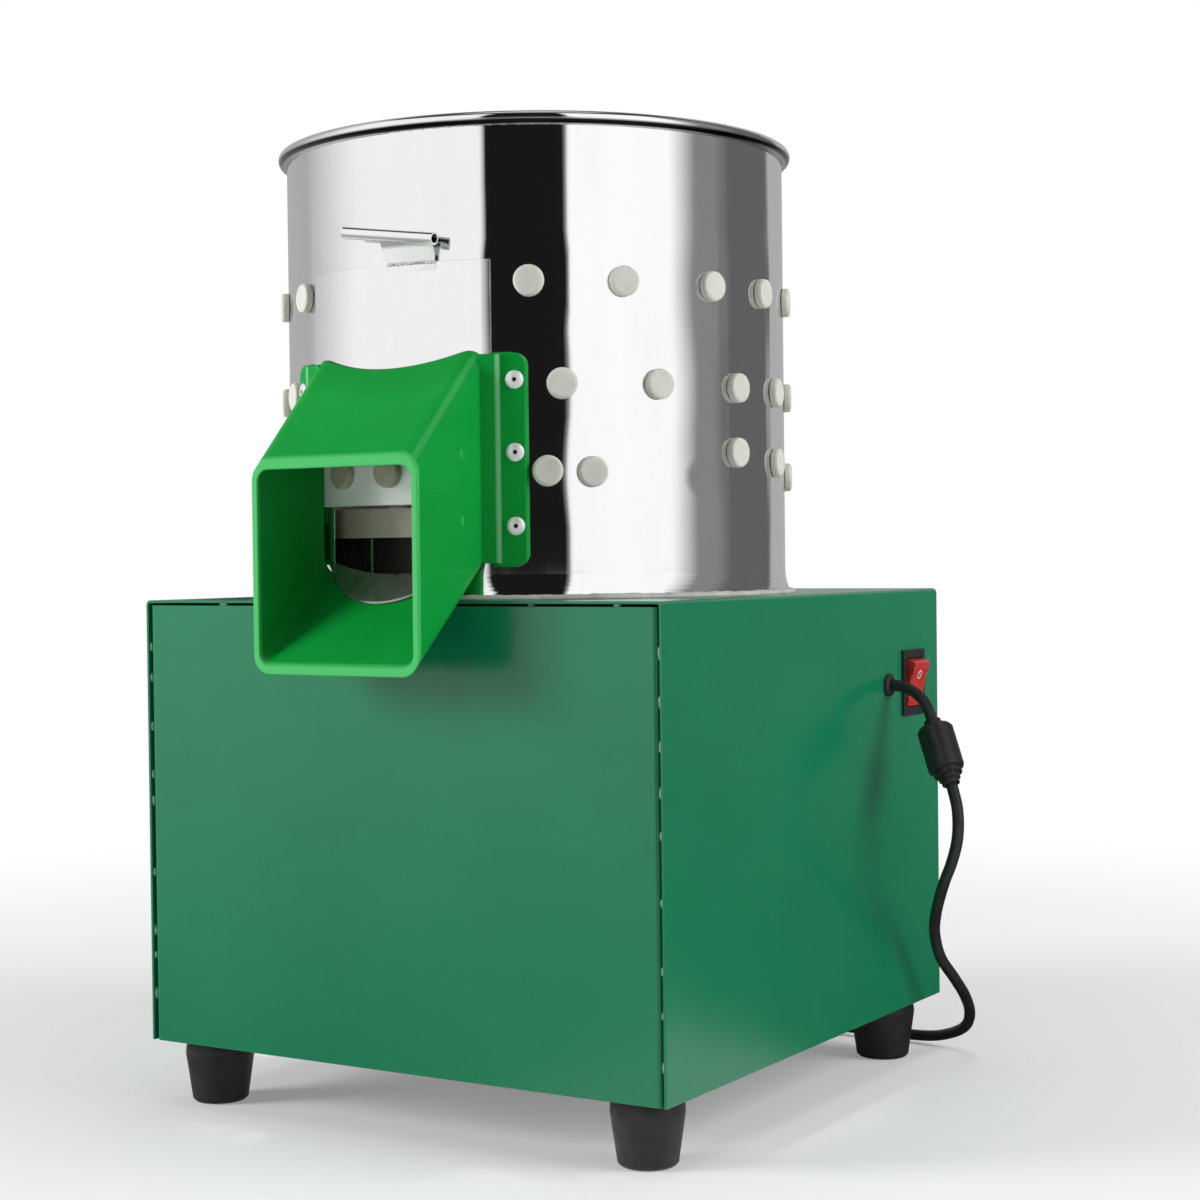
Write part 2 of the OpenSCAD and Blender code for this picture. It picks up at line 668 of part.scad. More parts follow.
module feather_sweeps() {
  z1 = table_z - table_t;
  color([0.7, 0.72, 0.74]) for (a = sweep_a) rotate([0, 0, a]) difference() {
    union() {
      box_at(sweep_r0, sweep_r1, -1, 1, floor_z + 3, z1);
      box_at(sweep_r0, sweep_r1, -1, 14, z1 - 2, z1);
    }
    for (r = [sweep_r0 + 10, sweep_r1 - 10]) translate([r, 7, z1 - 5]) cylinder(h = 10, r = 2.6);
  }
}

module sweep_bolts() {
  color([0.7, 0.7, 0.72]) for (p = sweep_spots) translate([p[0], p[1], 0]) {
    translate([0, 0, table_z]) cylinder(h = 2.6, r = 4.6);
    translate([0, 0, table_z - table_t - 8]) cylinder(h = table_t + 8, r = 2.5);
    translate([0, 0, table_z - table_t - 6.2]) hex(8, 4.2);
  }
}

module spindle_shaft() {
  low = belt_z - 22;
  color([0.6, 0.61, 0.63]) rotate_extrude() polygon([[0, low], [tip_r - 1, low], [tip_r, low + 1],
    [tip_r, belt_z - pulley_w / 2 - 1], [shaft_r, belt_z - pulley_w / 2 - 1], [shaft_r, hub_top],
    [tip_r, hub_top], [tip_r, table_z + 14], [tip_r - 1, table_z + 15], [0, table_z + 15]]);
}

module spindle_housing() {
  z0 = housing_top - housing_len;
  color([0.35, 0.37, 0.39]) difference() {
    rotate_extrude() polygon([[brg_or + 0.02, z0], [housing_r, z0], [housing_r, housing_top - 14],
      [housing_r + 4, housing_top - 10], [58, housing_top - 10], [58, housing_top], [brg_or + 0.02, housing_top],
      [brg_or + 0.02, up_brg_z], [20.5, up_brg_z], [20.5, low_brg_z + brg_w], [brg_or + 0.02, low_brg_z + brg_w]]);
    for (a = [45:90:315]) rotate([0, 0, a]) translate([flange_pcd_r, 0, housing_top - 20]) cylinder(h = 30, r = 4.1);
  }
}

module spindle_fixings() {
  color([0.65, 0.65, 0.67]) for (a = [45:90:315]) rotate([0, 0, a]) translate([flange_pcd_r, 0, 0]) {
    translate([0, 0, z_deck]) hex(13, 5.3);
    translate([0, 0, housing_top - 18.5]) cylinder(h = 18.5 + sheet_t, r = 4);
    translate([0, 0, housing_top - 16.5]) hex(13, 6.5);
  }
}

module spindle_seal() {
  color([0.1, 0.1, 0.1]) rotate_extrude() polygon([[shaft_r + 0.3, housing_top - 3.4], [brg_or - 0.02, housing_top - 3.4],
    [brg_or - 0.02, housing_top - 0.2], [shaft_r + 1.4, housing_top - 0.2], [shaft_r + 0.3, housing_top - 1.6]]);
}

module bearing_outer_rings() {
  color([0.66, 0.67, 0.7]) for (z = [up_brg_z, low_brg_z]) translate([0, 0, z]) rotate_extrude() difference() {
    translate([19, 0.02]) square([brg_or - 19, brg_w - 0.04]);
    translate([ball_c, brg_w / 2]) circle(ball_r + 0.15);
  }
}

module bearing_inner_rings() {
  color([0.66, 0.67, 0.7]) for (z = [up_brg_z, low_brg_z]) translate([0, 0, z]) rotate_extrude() difference() {
    translate([shaft_r + 0.02, 0.02]) square([4.6, brg_w - 0.04]);
    translate([ball_c, brg_w / 2]) circle(ball_r + 0.3);
  }
}

module bearing_balls() {
  color([0.7, 0.71, 0.74]) for (z = [up_brg_z, low_brg_z]) for (p = ring_xy(8, ball_c, 0))
    translate([p[0], p[1], z + brg_w / 2]) sphere(ball_r, $fn = 24);
}

// V-belt pulley section, from its bore to its rim
module pulley_section(bore, rim, hub) {
  h = pulley_w / 2;
  g = rim - 13;
  hw = groove_hw - 13 * groove_tan;
  polygon([[bore, -h], [hub, -h], [hub, -4], [g - 4, -4], [g - 4, -h], [rim, -h], [rim, -groove_hw], [g, -hw],
    [g, hw], [rim, groove_hw], [rim, h], [g - 4, h], [g - 4, 4], [hub, 4], [hub, h + 5], [bore, h + 5]]);
}

module driven_pulley() {
  color([0.4, 0.42, 0.45]) translate([0, 0, belt_z]) rotate_extrude($fn = 72)
    pulley_section(shaft_r + 0.02, driven_r, 19);
}

module low_nut() {
  color([0.7, 0.7, 0.72]) translate([0, 0, belt_z - pulley_w / 2]) difference() {
    union() {
      translate([0, 0, -2]) cylinder(h = 2, r = 15);
      translate([0, 0, -10]) hex(24, 8);
    }
    translate([0, 0, -20]) cylinder(h = 19, r = tip_r + 0.05);
    translate([0, 0, -2]) cylinder(h = 3, r = tip_r + 0.05);
    translate([0, 0, -1]) cylinder(h = 3, r = shaft_r + 0.05);
  }
}

module spindle_nuts() {
  table_nut();
  low_nut();
}

// Belt section about a pulley of pitch radius p
module belt_section(p, d) {
  w1 = groove_hw - groove_tan * 1 - belt_play - d;
  w0 = groove_hw - groove_tan * 9 - belt_play - d;
  polygon([[p - 4 + d, -w0], [p - 4 + d, w0], [p + 4 - d, w1], [p + 4 - d, -w1]]);
}

module drive_belt() {
  p1 = driven_pd / 2;
  p2 = motor_pd / 2;
  color([0.1, 0.1, 0.11]) translate([0, 0, belt_z]) {
    rotate([0, 0, 180 - tan_a]) rotate_extrude(angle = 180 + 2 * tan_a, $fn = 72) belt_section(p1, 0);
    translate([0, motor_y, 0]) rotate([0, 0, tan_a]) rotate_extrude(angle = 180 - 2 * tan_a) belt_section(p2, 0);
    for (s = [0, 1]) mirror([s, 0, 0]) rotate([0, 0, tan_a]) translate([0, run_len + 2, 0])
      rotate([90, 0, 0]) linear_extrude(run_len + 4) belt_section(p1, 0.06);
  }
}

module motor_pulley() {
  color([0.5, 0.51, 0.54]) translate([0, motor_y, belt_z]) rotate_extrude()
    pulley_section_small(7.02, motor_pr);
}

module pulley_section_small(bore, rim) {
  h = pulley_w / 2;
  g = rim - 13;
  hw = groove_hw - 13 * groove_tan;
  polygon([[bore, -h], [rim, -h], [rim, -groove_hw], [g, -hw], [g, hw], [rim, groove_hw], [rim, h], [bore, h]]);
}

module motor_rotor() {
  color([0.55, 0.56, 0.58]) translate([0, motor_y, 0]) rotate_extrude() polygon([[0, shell_low - 26], [6, shell_low - 26],
    [7, shell_low - 25], [7, shell_low + 8], [rotor_r, shell_low + 8], [rotor_r, shell_top - 8], [7, shell_top - 8],
    [7, belt_z + pulley_w / 2 + 2], [6, belt_z + pulley_w / 2 + 3], [0, belt_z + pulley_w / 2 + 3]]);
}

module motor_shell() {
  color([0.3, 0.33, 0.36]) translate([0, motor_y, shell_low]) linear_extrude(shell_top - shell_low) difference() {
    union() {
      circle(motor_r, $fn = 72);
      for (a = [7.5:15:352.5]) rotate(a) translate([motor_r - 2, -1]) square([motor_fin - motor_r + 2, 2]);
    }
    circle(motor_r - 4, $fn = 72);
  }
}

module motor_stator() {
  color([0.62, 0.4, 0.25]) translate([0, motor_y, shell_low + 6]) difference() {
    cylinder(h = shell_top - shell_low - 12, r = motor_r - 4.05, $fn = 72);
    translate([0, 0, -1]) cylinder(h = 80, r = rotor_r + 0.5, $fn = 72);
  }
}

module motor_top_shield() {
  color([0.38, 0.4, 0.43]) translate([0, motor_y, 0]) difference() {
    rotate_extrude($fn = 72) polygon([[7 + run, shell_top], [motor_r, shell_top], [motor_r + 3, shell_top + 3],
      [motor_r + 3, plate_low], [7 + run, plate_low]]);
    for (p = ring_xy(4, motor_pcd_r, 45)) translate([p[0], p[1], shell_top + 4]) cylinder(h = 30, r = 3.05);
  }
}

module motor_fan() {
  color([0.15, 0.15, 0.16]) translate([0, motor_y, shell_low - 22]) difference() {
    union() {
      cylinder(h = 12, r = 12);
      for (a = [0:45:315]) rotate([0, 0, a]) translate([10, -1, 0]) cube([motor_pcd_r - 10, 2, 12]);
    }
    translate([0, 0, -1]) cylinder(h = 20, r = 7.02);
  }
}

module motor_fan_cover() {
  z0 = shell_low - 32;
  color([0.2, 0.21, 0.23]) translate([0, motor_y, 0]) difference() {
    rotate_extrude($fn = 72) polygon([[0, z0], [motor_r - 4, z0], [motor_r, z0 + 4], [motor_r, shell_low], [7.5, shell_low],
      [7.5, shell_low - 3], [motor_r - 2, shell_low - 3], [motor_r - 2, z0 + 4], [motor_r - 5, z0 + 2], [0, z0 + 2]]);
    for (a = [0:30:330]) rotate([0, 0, a]) box_at(16, motor_pcd_r, -2.5, 2.5, z0 - 1, z0 + 3);
  }
}

module motor_plate() {
  color([0.3, 0.32, 0.33]) difference() {
    box_at(cap_x - cap_r - 4, 96, front_rail - 18, back_in - 2, plate_low, plate_top);
    translate([0, motor_y, plate_low - 1]) cylinder(h = 10, r = 20);
    for (p = ring_xy(4, motor_pcd_r, 45)) translate([p[0], p[1] + motor_y, plate_low - 1]) cylinder(h = 10, r = 3.2);
    translate([cap_x, cap_y, plate_low - 1]) cylinder(h = 10, r = 4.1);
  }
}

module motor_rails() {
  x = side_x - sheet_t;
  z = plate_low;
  color([0.22, 0.24, 0.24]) {
    box_at(-x, x, front_rail - 25, front_rail, z - 3, z);
    box_at(-x, x, front_rail - 3, front_rail, z - 26, z - 3);
    box_at(-x + notch, x - notch, back_in - rail_w, back_in, z - 3, z);
    box_at(-x + notch, x - notch, back_in - 3, back_in, z - 26, z - 3);
  }
}

module motor_bolts() {
  color([0.65, 0.65, 0.67]) for (p = ring_xy(4, motor_pcd_r, 45)) translate([p[0], p[1] + motor_y, 0]) {
    translate([0, 0, plate_top]) hex(10, 4);
    translate([0, 0, plate_low - 10]) cylinder(h = 10 + plate_t, r = 3);
  }
}

module terminal_box() {
  color([0.18, 0.18, 0.19]) difference() {
    box_at(motor_fin - 2, motor_fin + 28, motor_y - 28, motor_y + 28, shell_low + 12, shell_low + 56);
    translate([0, motor_y, shell_low]) cylinder(h = 80, r = motor_fin + 0.1, $fn = 72);
    box_at(motor_fin + 4, motor_fin + 26, motor_y - 26, motor_y + 26, shell_low + 14, shell_low + 54);
    translate([motor_fin + 20, motor_y, shell_low + 34]) rotate([0, 90, 0]) cylinder(h = 20, r = 3.7);
  }
}

module capacitor() {
  color([0.75, 0.76, 0.78]) translate([cap_x, cap_y, 0]) {
    translate([0, 0, plate_low - 86]) cylinder(h = 86, r = cap_r);
    translate([0, 0, plate_low - 1]) cylinder(h = plate_t + 11, r = 4);
    translate([0, 0, plate_top]) hex(13, 6.5);
  }
}

module switch_body() {
  color([0.06, 0.06, 0.06]) difference() {
    union() {
      box_at(side_x, side_x + sw_t, sw_y - sw_w / 2, sw_y + sw_w / 2, sw_z - sw_h / 2, sw_z + sw_h / 2);
      box_at(side_x - 24, side_x + 0.5, sw_y - 13.3, sw_y + 13.3, sw_z - 17.8, sw_z + 17.8);
      for (y = [-7, 7]) for (z = [-9, 9])
        box_at(side_x - 33, side_x - 23, sw_y + y - 0.4, sw_y + y + 0.4, sw_z + z - 3.1, sw_z + z + 3.1);
    }
    box_at(side_x - 9.5, side_x + 5, sw_y - rock_w / 2 - 0.3, sw_y + rock_w / 2 + 0.3, sw_z - 15.3, sw_z + 15.3);
    translate([rock_x, sw_y - 20, sw_z]) rotate([-90, 0, 0]) cylinder(h = 40, r = 1.56);
  }
}

module switch_rocker() {
  color([0.75, 0.12, 0.12]) translate([rock_x, sw_y, sw_z]) rotate([0, rock_tilt, 0]) {
    rotate([90, 0, 0]) translate([0, 0, -rock_w / 2]) linear_extrude(rock_w) difference() {
      circle(rock_r, $fn = 64);
      translate([-34, -20]) square([30, 40]);
      translate([5.5, -20]) square([30, 40]);
      translate([41.9, 0]) circle(37.6, $fn = 96);
    }
    rotate([-90, 0, 0]) translate([0, 0, -rock_w / 2 - 1.4]) cylinder(h = rock_w + 2.8, r = 1.5);
  }
}

module cord_grommet() {
  color([0.07, 0.07, 0.07]) translate([side_x, cord_y, cord_z]) rotate([0, 90, 0]) rotate_extrude() polygon([
    [cord_r + 0.1, 3], [cord_r + 1.6, 3], [7, 1.6], [7, 0], [5, 0], [5, -sheet_t], [7, -sheet_t], [7, -sheet_t - 2],
    [cord_r + 0.1, -sheet_t - 2]]);
}

module cord_lead() {
  color([0.06, 0.06, 0.06]) tube(lead_path, cord_r, 10);
}

module cord_barrel() {
  l = norm(barrel_b - barrel_a);
  color([0.07, 0.07, 0.07]) along(barrel_a, barrel_b) rotate_extrude() polygon([
    [0, 0.4], [4.6, 0.4], [5.2, 1], [5.2, 4], [9.6, 5.6], [11, 7.6], [11, l - 12], [10.4, l - 10.6], [8.6, l - 10],
    [8.6, l - 7], [6.6, l - 6.4], [6.6, l - 3.8], [5.4, l - 3.4], [5.4, l - 0.8], [4.8, l - 0.4], [0, l - 0.4]]);
}

module cord_tail() {
  color([0.06, 0.06, 0.06]) tube(tail_path, cord_r, 10);
}

module cord_coil() {
  color([0.06, 0.06, 0.06]) tube(coil_path, cord_r, 6);
}

module cord_tie() {
  r0 = coil_ri - cord_r - 3;
  r1 = coil_r(0) + cord_r + 0.8;
  z1 = coil_z + coil_pitch + cord_r + 1.4;
  color([0.1, 0.1, 0.1]) translate([coil_c[0], coil_c[1], 0]) difference() {
    box_at(r0, r1, -3, 3, 0.1, z1);
    box_at(r0 + 1, r1 - 1, -4, 4, 1.1, z1 - 1);
  }
}

plug_end = plug_route[len(plug_route) - 1];
module cord_plug_lead() {
  color([0.06, 0.06, 0.06]) tube(plug_path, cord_r, 10);
}

module plug_body() {
  color([0.07, 0.07, 0.07]) translate(plug_end) rotate([0, -90, 0]) rotate_extrude() polygon([
    [0, 0.4], [5, 0.4], [6, 2], [7, 12], [15, 20], [18.6, 26], [19, 30], [19, 38], [18.4, 39], [0, 39]]);
}

module plug_pins() {
  color([0.8, 0.8, 0.78]) translate(plug_end) rotate([0, -90, 0]) for (y = [-9.5, 9.5])
    translate([0, y, 39]) rotate_extrude($fn = 24) polygon([[0, 0], [2.4, 0], [2.4, 17.6], [1.6, 19], [0, 19]]);
}

module inner_lead() {
  color([0.1, 0.1, 0.1]) tube(inner_path, 3.4, 8);
}

body_wrap();
front_panel();
back_panel();
base_frame();
foot(0);  // foot_front_left
foot(1);  // foot_front_right
foot(2);  // foot_back_left
foot(3);  // foot_back_right
foot_fixings();
drum_shell();
drum_floor();
drum_seal();
drum_fingers_upper();
drum_fingers_middle();
drum_fingers_lower();
chute();
chute_rivets();
outlet_tongue();
gate_plate();
gate_fingers();
turntable();
turntable_fingers();
turntable_hub();
hub_bolts();
spindle_nuts();
feather_sweeps();
sweep_bolts();
spindle_shaft();
spindle_housing();
spindle_fixings();
spindle_seal();
bearing_outer_rings();
bearing_inner_rings();
bearing_balls();
driven_pulley();
drive_belt();
motor_pulley();
motor_rotor();
motor_shell();
motor_stator();
motor_top_shield();
motor_fan();
motor_fan_cover();
motor_plate();
motor_rails();
motor_bolts();
terminal_box();
capacitor();
switch_body();
switch_rocker();
cord_grommet();
cord_lead();
cord_barrel();
cord_tail();
cord_coil();
cord_tie();
cord_plug_lead();
plug_body();
plug_pins();
inner_lead();
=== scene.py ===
import json
import math
import random

import bmesh
import bpy
from mathutils import Matrix, Vector, noise

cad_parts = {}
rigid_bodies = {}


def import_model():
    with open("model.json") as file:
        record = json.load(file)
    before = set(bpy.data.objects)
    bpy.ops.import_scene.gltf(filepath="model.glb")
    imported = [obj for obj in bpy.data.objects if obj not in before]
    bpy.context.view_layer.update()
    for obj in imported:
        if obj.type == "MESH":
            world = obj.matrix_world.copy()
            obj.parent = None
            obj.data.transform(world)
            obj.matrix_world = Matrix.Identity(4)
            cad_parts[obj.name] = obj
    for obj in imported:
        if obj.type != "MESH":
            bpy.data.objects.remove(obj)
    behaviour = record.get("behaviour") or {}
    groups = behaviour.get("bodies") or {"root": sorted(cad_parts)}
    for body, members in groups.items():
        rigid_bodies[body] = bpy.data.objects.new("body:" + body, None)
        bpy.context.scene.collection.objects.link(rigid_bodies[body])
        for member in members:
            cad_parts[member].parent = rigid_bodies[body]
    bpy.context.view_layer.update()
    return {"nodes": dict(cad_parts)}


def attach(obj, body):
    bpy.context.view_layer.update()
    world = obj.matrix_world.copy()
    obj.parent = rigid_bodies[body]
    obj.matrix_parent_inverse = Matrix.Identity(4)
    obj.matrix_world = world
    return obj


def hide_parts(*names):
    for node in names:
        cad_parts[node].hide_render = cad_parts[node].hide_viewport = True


for old in list(bpy.data.objects):
    bpy.data.objects.remove(old)
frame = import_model()
NODE = frame["nodes"]
scene = bpy.context.scene
scene.view_settings.view_transform = "Standard"

# Sizes shared with the solids, in millimetres
MM = 0.001
BOX_W = 354.0
BOX_D = 354.0
BOX_H = 262.0
FOOT_H = 38.0
DRUM_R = 150.0
DRUM_EDGE = 7.0
FLARE_OUT = 3.6
FLARE_H = 14.0
RIVET_TURN = 28.5
RIVET_HEIGHTS = (120, 80.5, 40.3)
CORD_R = 3.5
SIDE = BOX_W / 2
FRONT = -DRUM_R - DRUM_EDGE
BACK = FRONT + BOX_D
MID = (FRONT + BACK) / 2
DECK = FOOT_H + BOX_H

# Camera of the photograph, angles in radians, focal length in pixels, sensor and place in millimetres
CAMERA_HEADING = 0.552820
CAMERA_PITCH = -0.0207648
CAMERA_ROLL = -0.0112945
CAMERA_FOCAL = 2257.86
CAMERA_PIXELS = 1200
CAMERA_SENSOR = 36
CAMERA_AT = (757.61, -1157.95, 325.03)


# Vectors
def V(*parts):
    return Vector(parts)


def mm(x, y, z):
    """A place in millimetres, as a vector in metres."""
    return Vector((x * MM, y * MM, z * MM))


def around(degrees):
    """Unit vectors out of the drum and along its wall, at an angle from the front."""
    t = math.radians(degrees)
    return Vector((math.sin(t), -math.cos(t), 0)), Vector((math.cos(t), math.sin(t), 0))


X = Vector((MM, 0, 0))
Y = Vector((0, MM, 0))
Z = Vector((0, 0, MM))


def photo_camera():
    across = math.cos(CAMERA_HEADING)
    back = math.sin(CAMERA_HEADING)
    level = Vector((across, back, 0))
    flat = math.cos(CAMERA_PITCH)
    ahead = Vector((-back * flat, across * flat, math.sin(CAMERA_PITCH)))
    upright = level.cross(ahead)
    right = math.cos(CAMERA_ROLL) * level + math.sin(CAMERA_ROLL) * upright
    up = -math.sin(CAMERA_ROLL) * level + math.cos(CAMERA_ROLL) * upright
    data = bpy.data.cameras.new("photo_camera")
    data.sensor_width = CAMERA_SENSOR
    data.lens = CAMERA_SENSOR * CAMERA_FOCAL / CAMERA_PIXELS
    data.clip_start = 0.05
    data.clip_end = 200
    camera = bpy.data.objects.new("photo_camera", data)
    scene.collection.objects.link(camera)
    place = Matrix((right, up, -ahead)).transposed().to_4x4()
    place.translation = mm(*CAMERA_AT)
    camera.matrix_world = place
    scene.camera = camera


# Node helpers
class Nodes:
    """Adds nodes to a tree. Each call gives back an output of the new node."""

    def __init__(self, tree, kind, coordinates):
        self.tree = tree
        tree.nodes.clear()
        self.place = self.new(kind).outputs[coordinates]

    def new(self, kind, **settings):
        node = self.tree.nodes.new("ShaderNode" + kind)
        for key, value in settings.items():
            setattr(node, key, value)
        return node

    def put(self, socket, value):
        """Links a socket to an output, or sets it to a plain value."""
        if isinstance(value, bpy.types.NodeSocket):
            self.tree.links.new(value, socket)
        elif value is not None:
            socket.default_value = value

    def stretched(self, stretch):
        if stretch is None:
            return self.place
        node = self.new("Mapping")
        node.inputs["Scale"].default_value = stretch
        self.put(node.inputs["Vector"], self.place)
        return node.outputs[0]

    def noise(self, scale, detail=3.0, rough=0.5, stretch=None, distortion=0.0):
        node = self.new("TexNoise")
        node.inputs["Scale"].default_value = scale
        node.inputs["Detail"].default_value = detail
        node.inputs["Roughness"].default_value = rough
        node.inputs["Distortion"].default_value = distortion
        self.put(node.inputs["Vector"], self.stretched(stretch))
        return node.outputs["Fac"]

    def cells(self, scale):
        node = self.new("TexVoronoi")
        node.inputs["Scale"].default_value = scale
        self.put(node.inputs["Vector"], self.place)
        return node.outputs["Distance"]

    def ramp(self, share, *stops):
        """Colours, or grey tones, by a share from 0 to 1."""
        node = self.new("ValToRGB")
        elements = node.color_ramp.elements
        while len(elements) < len(stops):
            elements.new(0.5)
        for element, (position, colour) in zip(elements, stops):
            element.position = position
            element.color = (*colour, 1) if isinstance(colour, tuple) else (colour, colour, colour, 1)
        self.put(node.inputs[0], share)
        return node.outputs[0]

    def calc(self, operation, *values, clamp=False):
        node = self.new("Math", operation=operation, use_clamp=clamp)
        for socket, value in zip(node.inputs, values):
            self.put(socket, value)
        return node.outputs[0]

    def vector(self, operation, first, second=None, output="Vector"):
        node = self.new("VectorMath", operation=operation)
        self.put(node.inputs[0], first)
        self.put(node.inputs["Scale"] if operation == "SCALE" else node.inputs[1], second)
        return node.outputs[output]

    def mix(self, share, first, second):
        node = self.new("Mix", data_type="RGBA")
        self.put(node.inputs[0], share)
        for socket, value in ((node.inputs[6], first), (node.inputs[7], second)):
            self.put(socket, (*value, 1) if isinstance(value, tuple) else value)
        return node.outputs[2]

    def spread(self, value, low, high, at_low=0.0, at_high=1.0, smooth=False):
        """Maps low to at_low and high to at_high, and holds still past them."""
        node = self.new("MapRange", interpolation_type="SMOOTHSTEP" if smooth else "LINEAR")
        for socket, number in zip(node.inputs[1:5], (low, high, at_low, at_high)):
            socket.default_value = number
        self.put(node.inputs[0], value)
        return node.outputs[0]

    def axis(self, which):
        node = self.new("SeparateXYZ")
        self.put(node.inputs[0], self.place)
        return node.outputs[which]

    def normal(self, which):
        node = self.new("SeparateXYZ")
        self.put(node.inputs[0], self.new("NewGeometry").outputs["Normal"])
        return node.outputs[which]

    def radius(self):
        """Distance from the drum's axis, in metres."""
        return self.vector("LENGTH", self.vector("MULTIPLY", self.place, (1, 1, 0)), output="Value")

    def by_heading(self, stops, peak=1.0):
        """Tones by the heading from the front, in degrees, positive towards the switch side."""
        heading = self.calc("ARCTAN2", self.axis("X"), self.calc("MULTIPLY", self.axis("Y"), -1.0))
        turn = self.calc("ADD", self.calc("DIVIDE", heading, 2 * math.pi), 0.5)
        return self.ramp(turn, *[(degrees / 360 + 0.5, tone / peak) for degrees, tone in stops])

    def dents(self, spots):
        """Height of shallow round dents, each a place, a radius and a depth in metres."""
        total = 0.0
        for at, radius, depth in spots:
            away = self.vector("DISTANCE", self.place, at, "Value")
            total = self.calc("ADD", total, self.spread(away, 0, radius, -depth, 0, smooth=True))
        return total

    def stripe(self, start, end, width):
        """1 on the straight line from start to end, falling to 0 at width, all in millimetres."""
        begin = Vector(start) * MM
        along = Vector(end) * MM - begin
        away = self.vector("SUBTRACT", self.place, begin)
        share = self.vector("DOT_PRODUCT", away, along / along.length_squared, "Value")
        nearest = self.vector("SCALE", along, self.calc("MULTIPLY", share, 1.0, clamp=True))
        off = self.vector("LENGTH", self.vector("SUBTRACT", away, nearest), output="Value")
        return self.spread(off, width * 0.35 * MM, width * MM, 1.0, 0.0)

    def bump(self, height, distance, strength=1.0, normal=None):
        node = self.new("Bump")
        node.inputs["Strength"].default_value = strength
        node.inputs["Distance"].default_value = distance
        self.put(node.inputs["Height"], height)
        self.put(node.inputs["Normal"], normal)
        return node.outputs[0]

    def edge(self, radius=0.0006):
        """Normal that rounds sharp edges."""
        node = self.new("Bevel", samples=4)
        node.inputs["Radius"].default_value = radius
        return node.outputs[0]

    def blend(self, share, first, second):
        """Two shaders mixed by a share."""
        node = self.new("MixShader")
        for socket, value in zip(node.inputs, (share, first, second)):
            self.put(socket, value)
        return node.outputs[0]

    def finish(self, kind, shader):
        self.put(self.new("Output" + kind).inputs[0], shader)


class Mat(Nodes):
    """A material with one main shader."""

    def __init__(self, name, colour, rough, metal=0.0, **sockets):
        self.material = bpy.data.materials.new(name)
        self.material.use_nodes = True
        self.material.diffuse_color = (*colour, 1)
        super().__init__(self.material.node_tree, "TexCoord", "Object")
        self.shader = self.new("BsdfPrincipled")
        self.finish("Material", self.shader.outputs[0])
        self.set(Base_Color=(*colour, 1), Roughness=rough, Metallic=metal, **sockets)

    def set(self, **sockets):
        for key, value in sockets.items():
            self.put(self.shader.inputs[key.replace("_", " ")], value)
        return self.material

    def mottled(self, dark, pale, *grain, low=0.3, high=0.7):
        """Two colours in the clouds of a noise, given by its scale, detail, roughness and stretch."""
        return self.ramp(self.noise(*grain), (low, dark), (high, pale))

    def gloss(self, smooth, dull, *grain):
        """Roughness that wanders with a noise."""
        return self.spread(self.noise(*grain), 0.3, 0.7, smooth, dull)

    def rough(self, distance, strength, *grain, under=None):
        """Fine relief from a noise."""
        return self.bump(self.noise(*grain), distance, strength, under)


# Paints and rubbers
def green_paint():
    """Satin enamel with light orange peel, sheet waviness and dulled patches."""
    mat = Mat("green_paint", (0.003, 0.172, 0.074), 0.2, Specular_IOR_Level=0.6)
    cloud = mat.mottled((0.002, 0.16, 0.068), (0.004, 0.184, 0.08), 6, 4, 0.55)
    speck = mat.calc("MULTIPLY", mat.noise(420, 2, 0.6), 0.15)
    waves = mat.rough(0.0012, 0.35, 5.5, 1, 0.4, under=mat.edge(0.0005))
    return mat.set(Base_Color=mat.mix(speck, cloud, (0.012, 0.22, 0.11)),
                   Roughness=mat.gloss(0.17, 0.24, 11, 5, 0.6),
                   Normal=mat.rough(0.000007, 0.4, 900, 2, 0.5, under=waves))


def frame_paint():
    mat = Mat("frame_paint", (0.03, 0.033, 0.033), 0.45)
    return mat.set(Base_Color=mat.mottled((0.02, 0.022, 0.022), (0.05, 0.053, 0.052), 30, 5, 0.6, high=0.75),
                   Roughness=mat.gloss(0.36, 0.56, 60, 4),
                   Normal=mat.rough(0.00006, 0.6, 600, 3, under=mat.edge()))


def foot_rubber():
    mat = Mat("foot_rubber", (0.016, 0.016, 0.016), 0.6)
    tone = mat.mottled((0.012, 0.012, 0.012), (0.026, 0.026, 0.026), 90, 5, 0.65, high=0.8)
    return mat.set(Base_Color=tone,
                   Roughness=mat.gloss(0.5, 0.68, 130, 4),
                   Normal=mat.rough(0.00006, 0.7, 1400, 3, under=mat.edge(0.0008)))


def finger_rubber():
    mat = Mat("finger_rubber", (0.64, 0.63, 0.58), 0.42, Subsurface_Weight=0.1, Subsurface_Scale=0.003,
              Subsurface_Radius=(1.0, 0.85, 0.6))
    return mat.set(Base_Color=mat.mottled((0.6, 0.59, 0.53), (0.69, 0.685, 0.63), 70, 5, 0.6),
                   Roughness=mat.gloss(0.36, 0.52, 160, 4),
                   Normal=mat.rough(0.00005, 0.6, 900, 3, under=mat.edge(0.0007)))


def stained_and_shaded_rubber():
    """The gate's fingers, which sit in the wet stream: stained, and darker still as painted shade."""
    # Painted shade: a darker beige than the other fingers, for the shade in the chute.
    mat = Mat("stained_and_shaded_rubber", (0.4, 0.36, 0.28), 0.46)
    return mat.set(Base_Color=mat.mottled((0.3, 0.265, 0.2), (0.5, 0.46, 0.37), 60, 5, 0.65),
                   Roughness=mat.gloss(0.38, 0.55, 160, 4),
                   Normal=mat.rough(0.00005, 0.6, 900, 3, under=mat.edge(0.0007)))


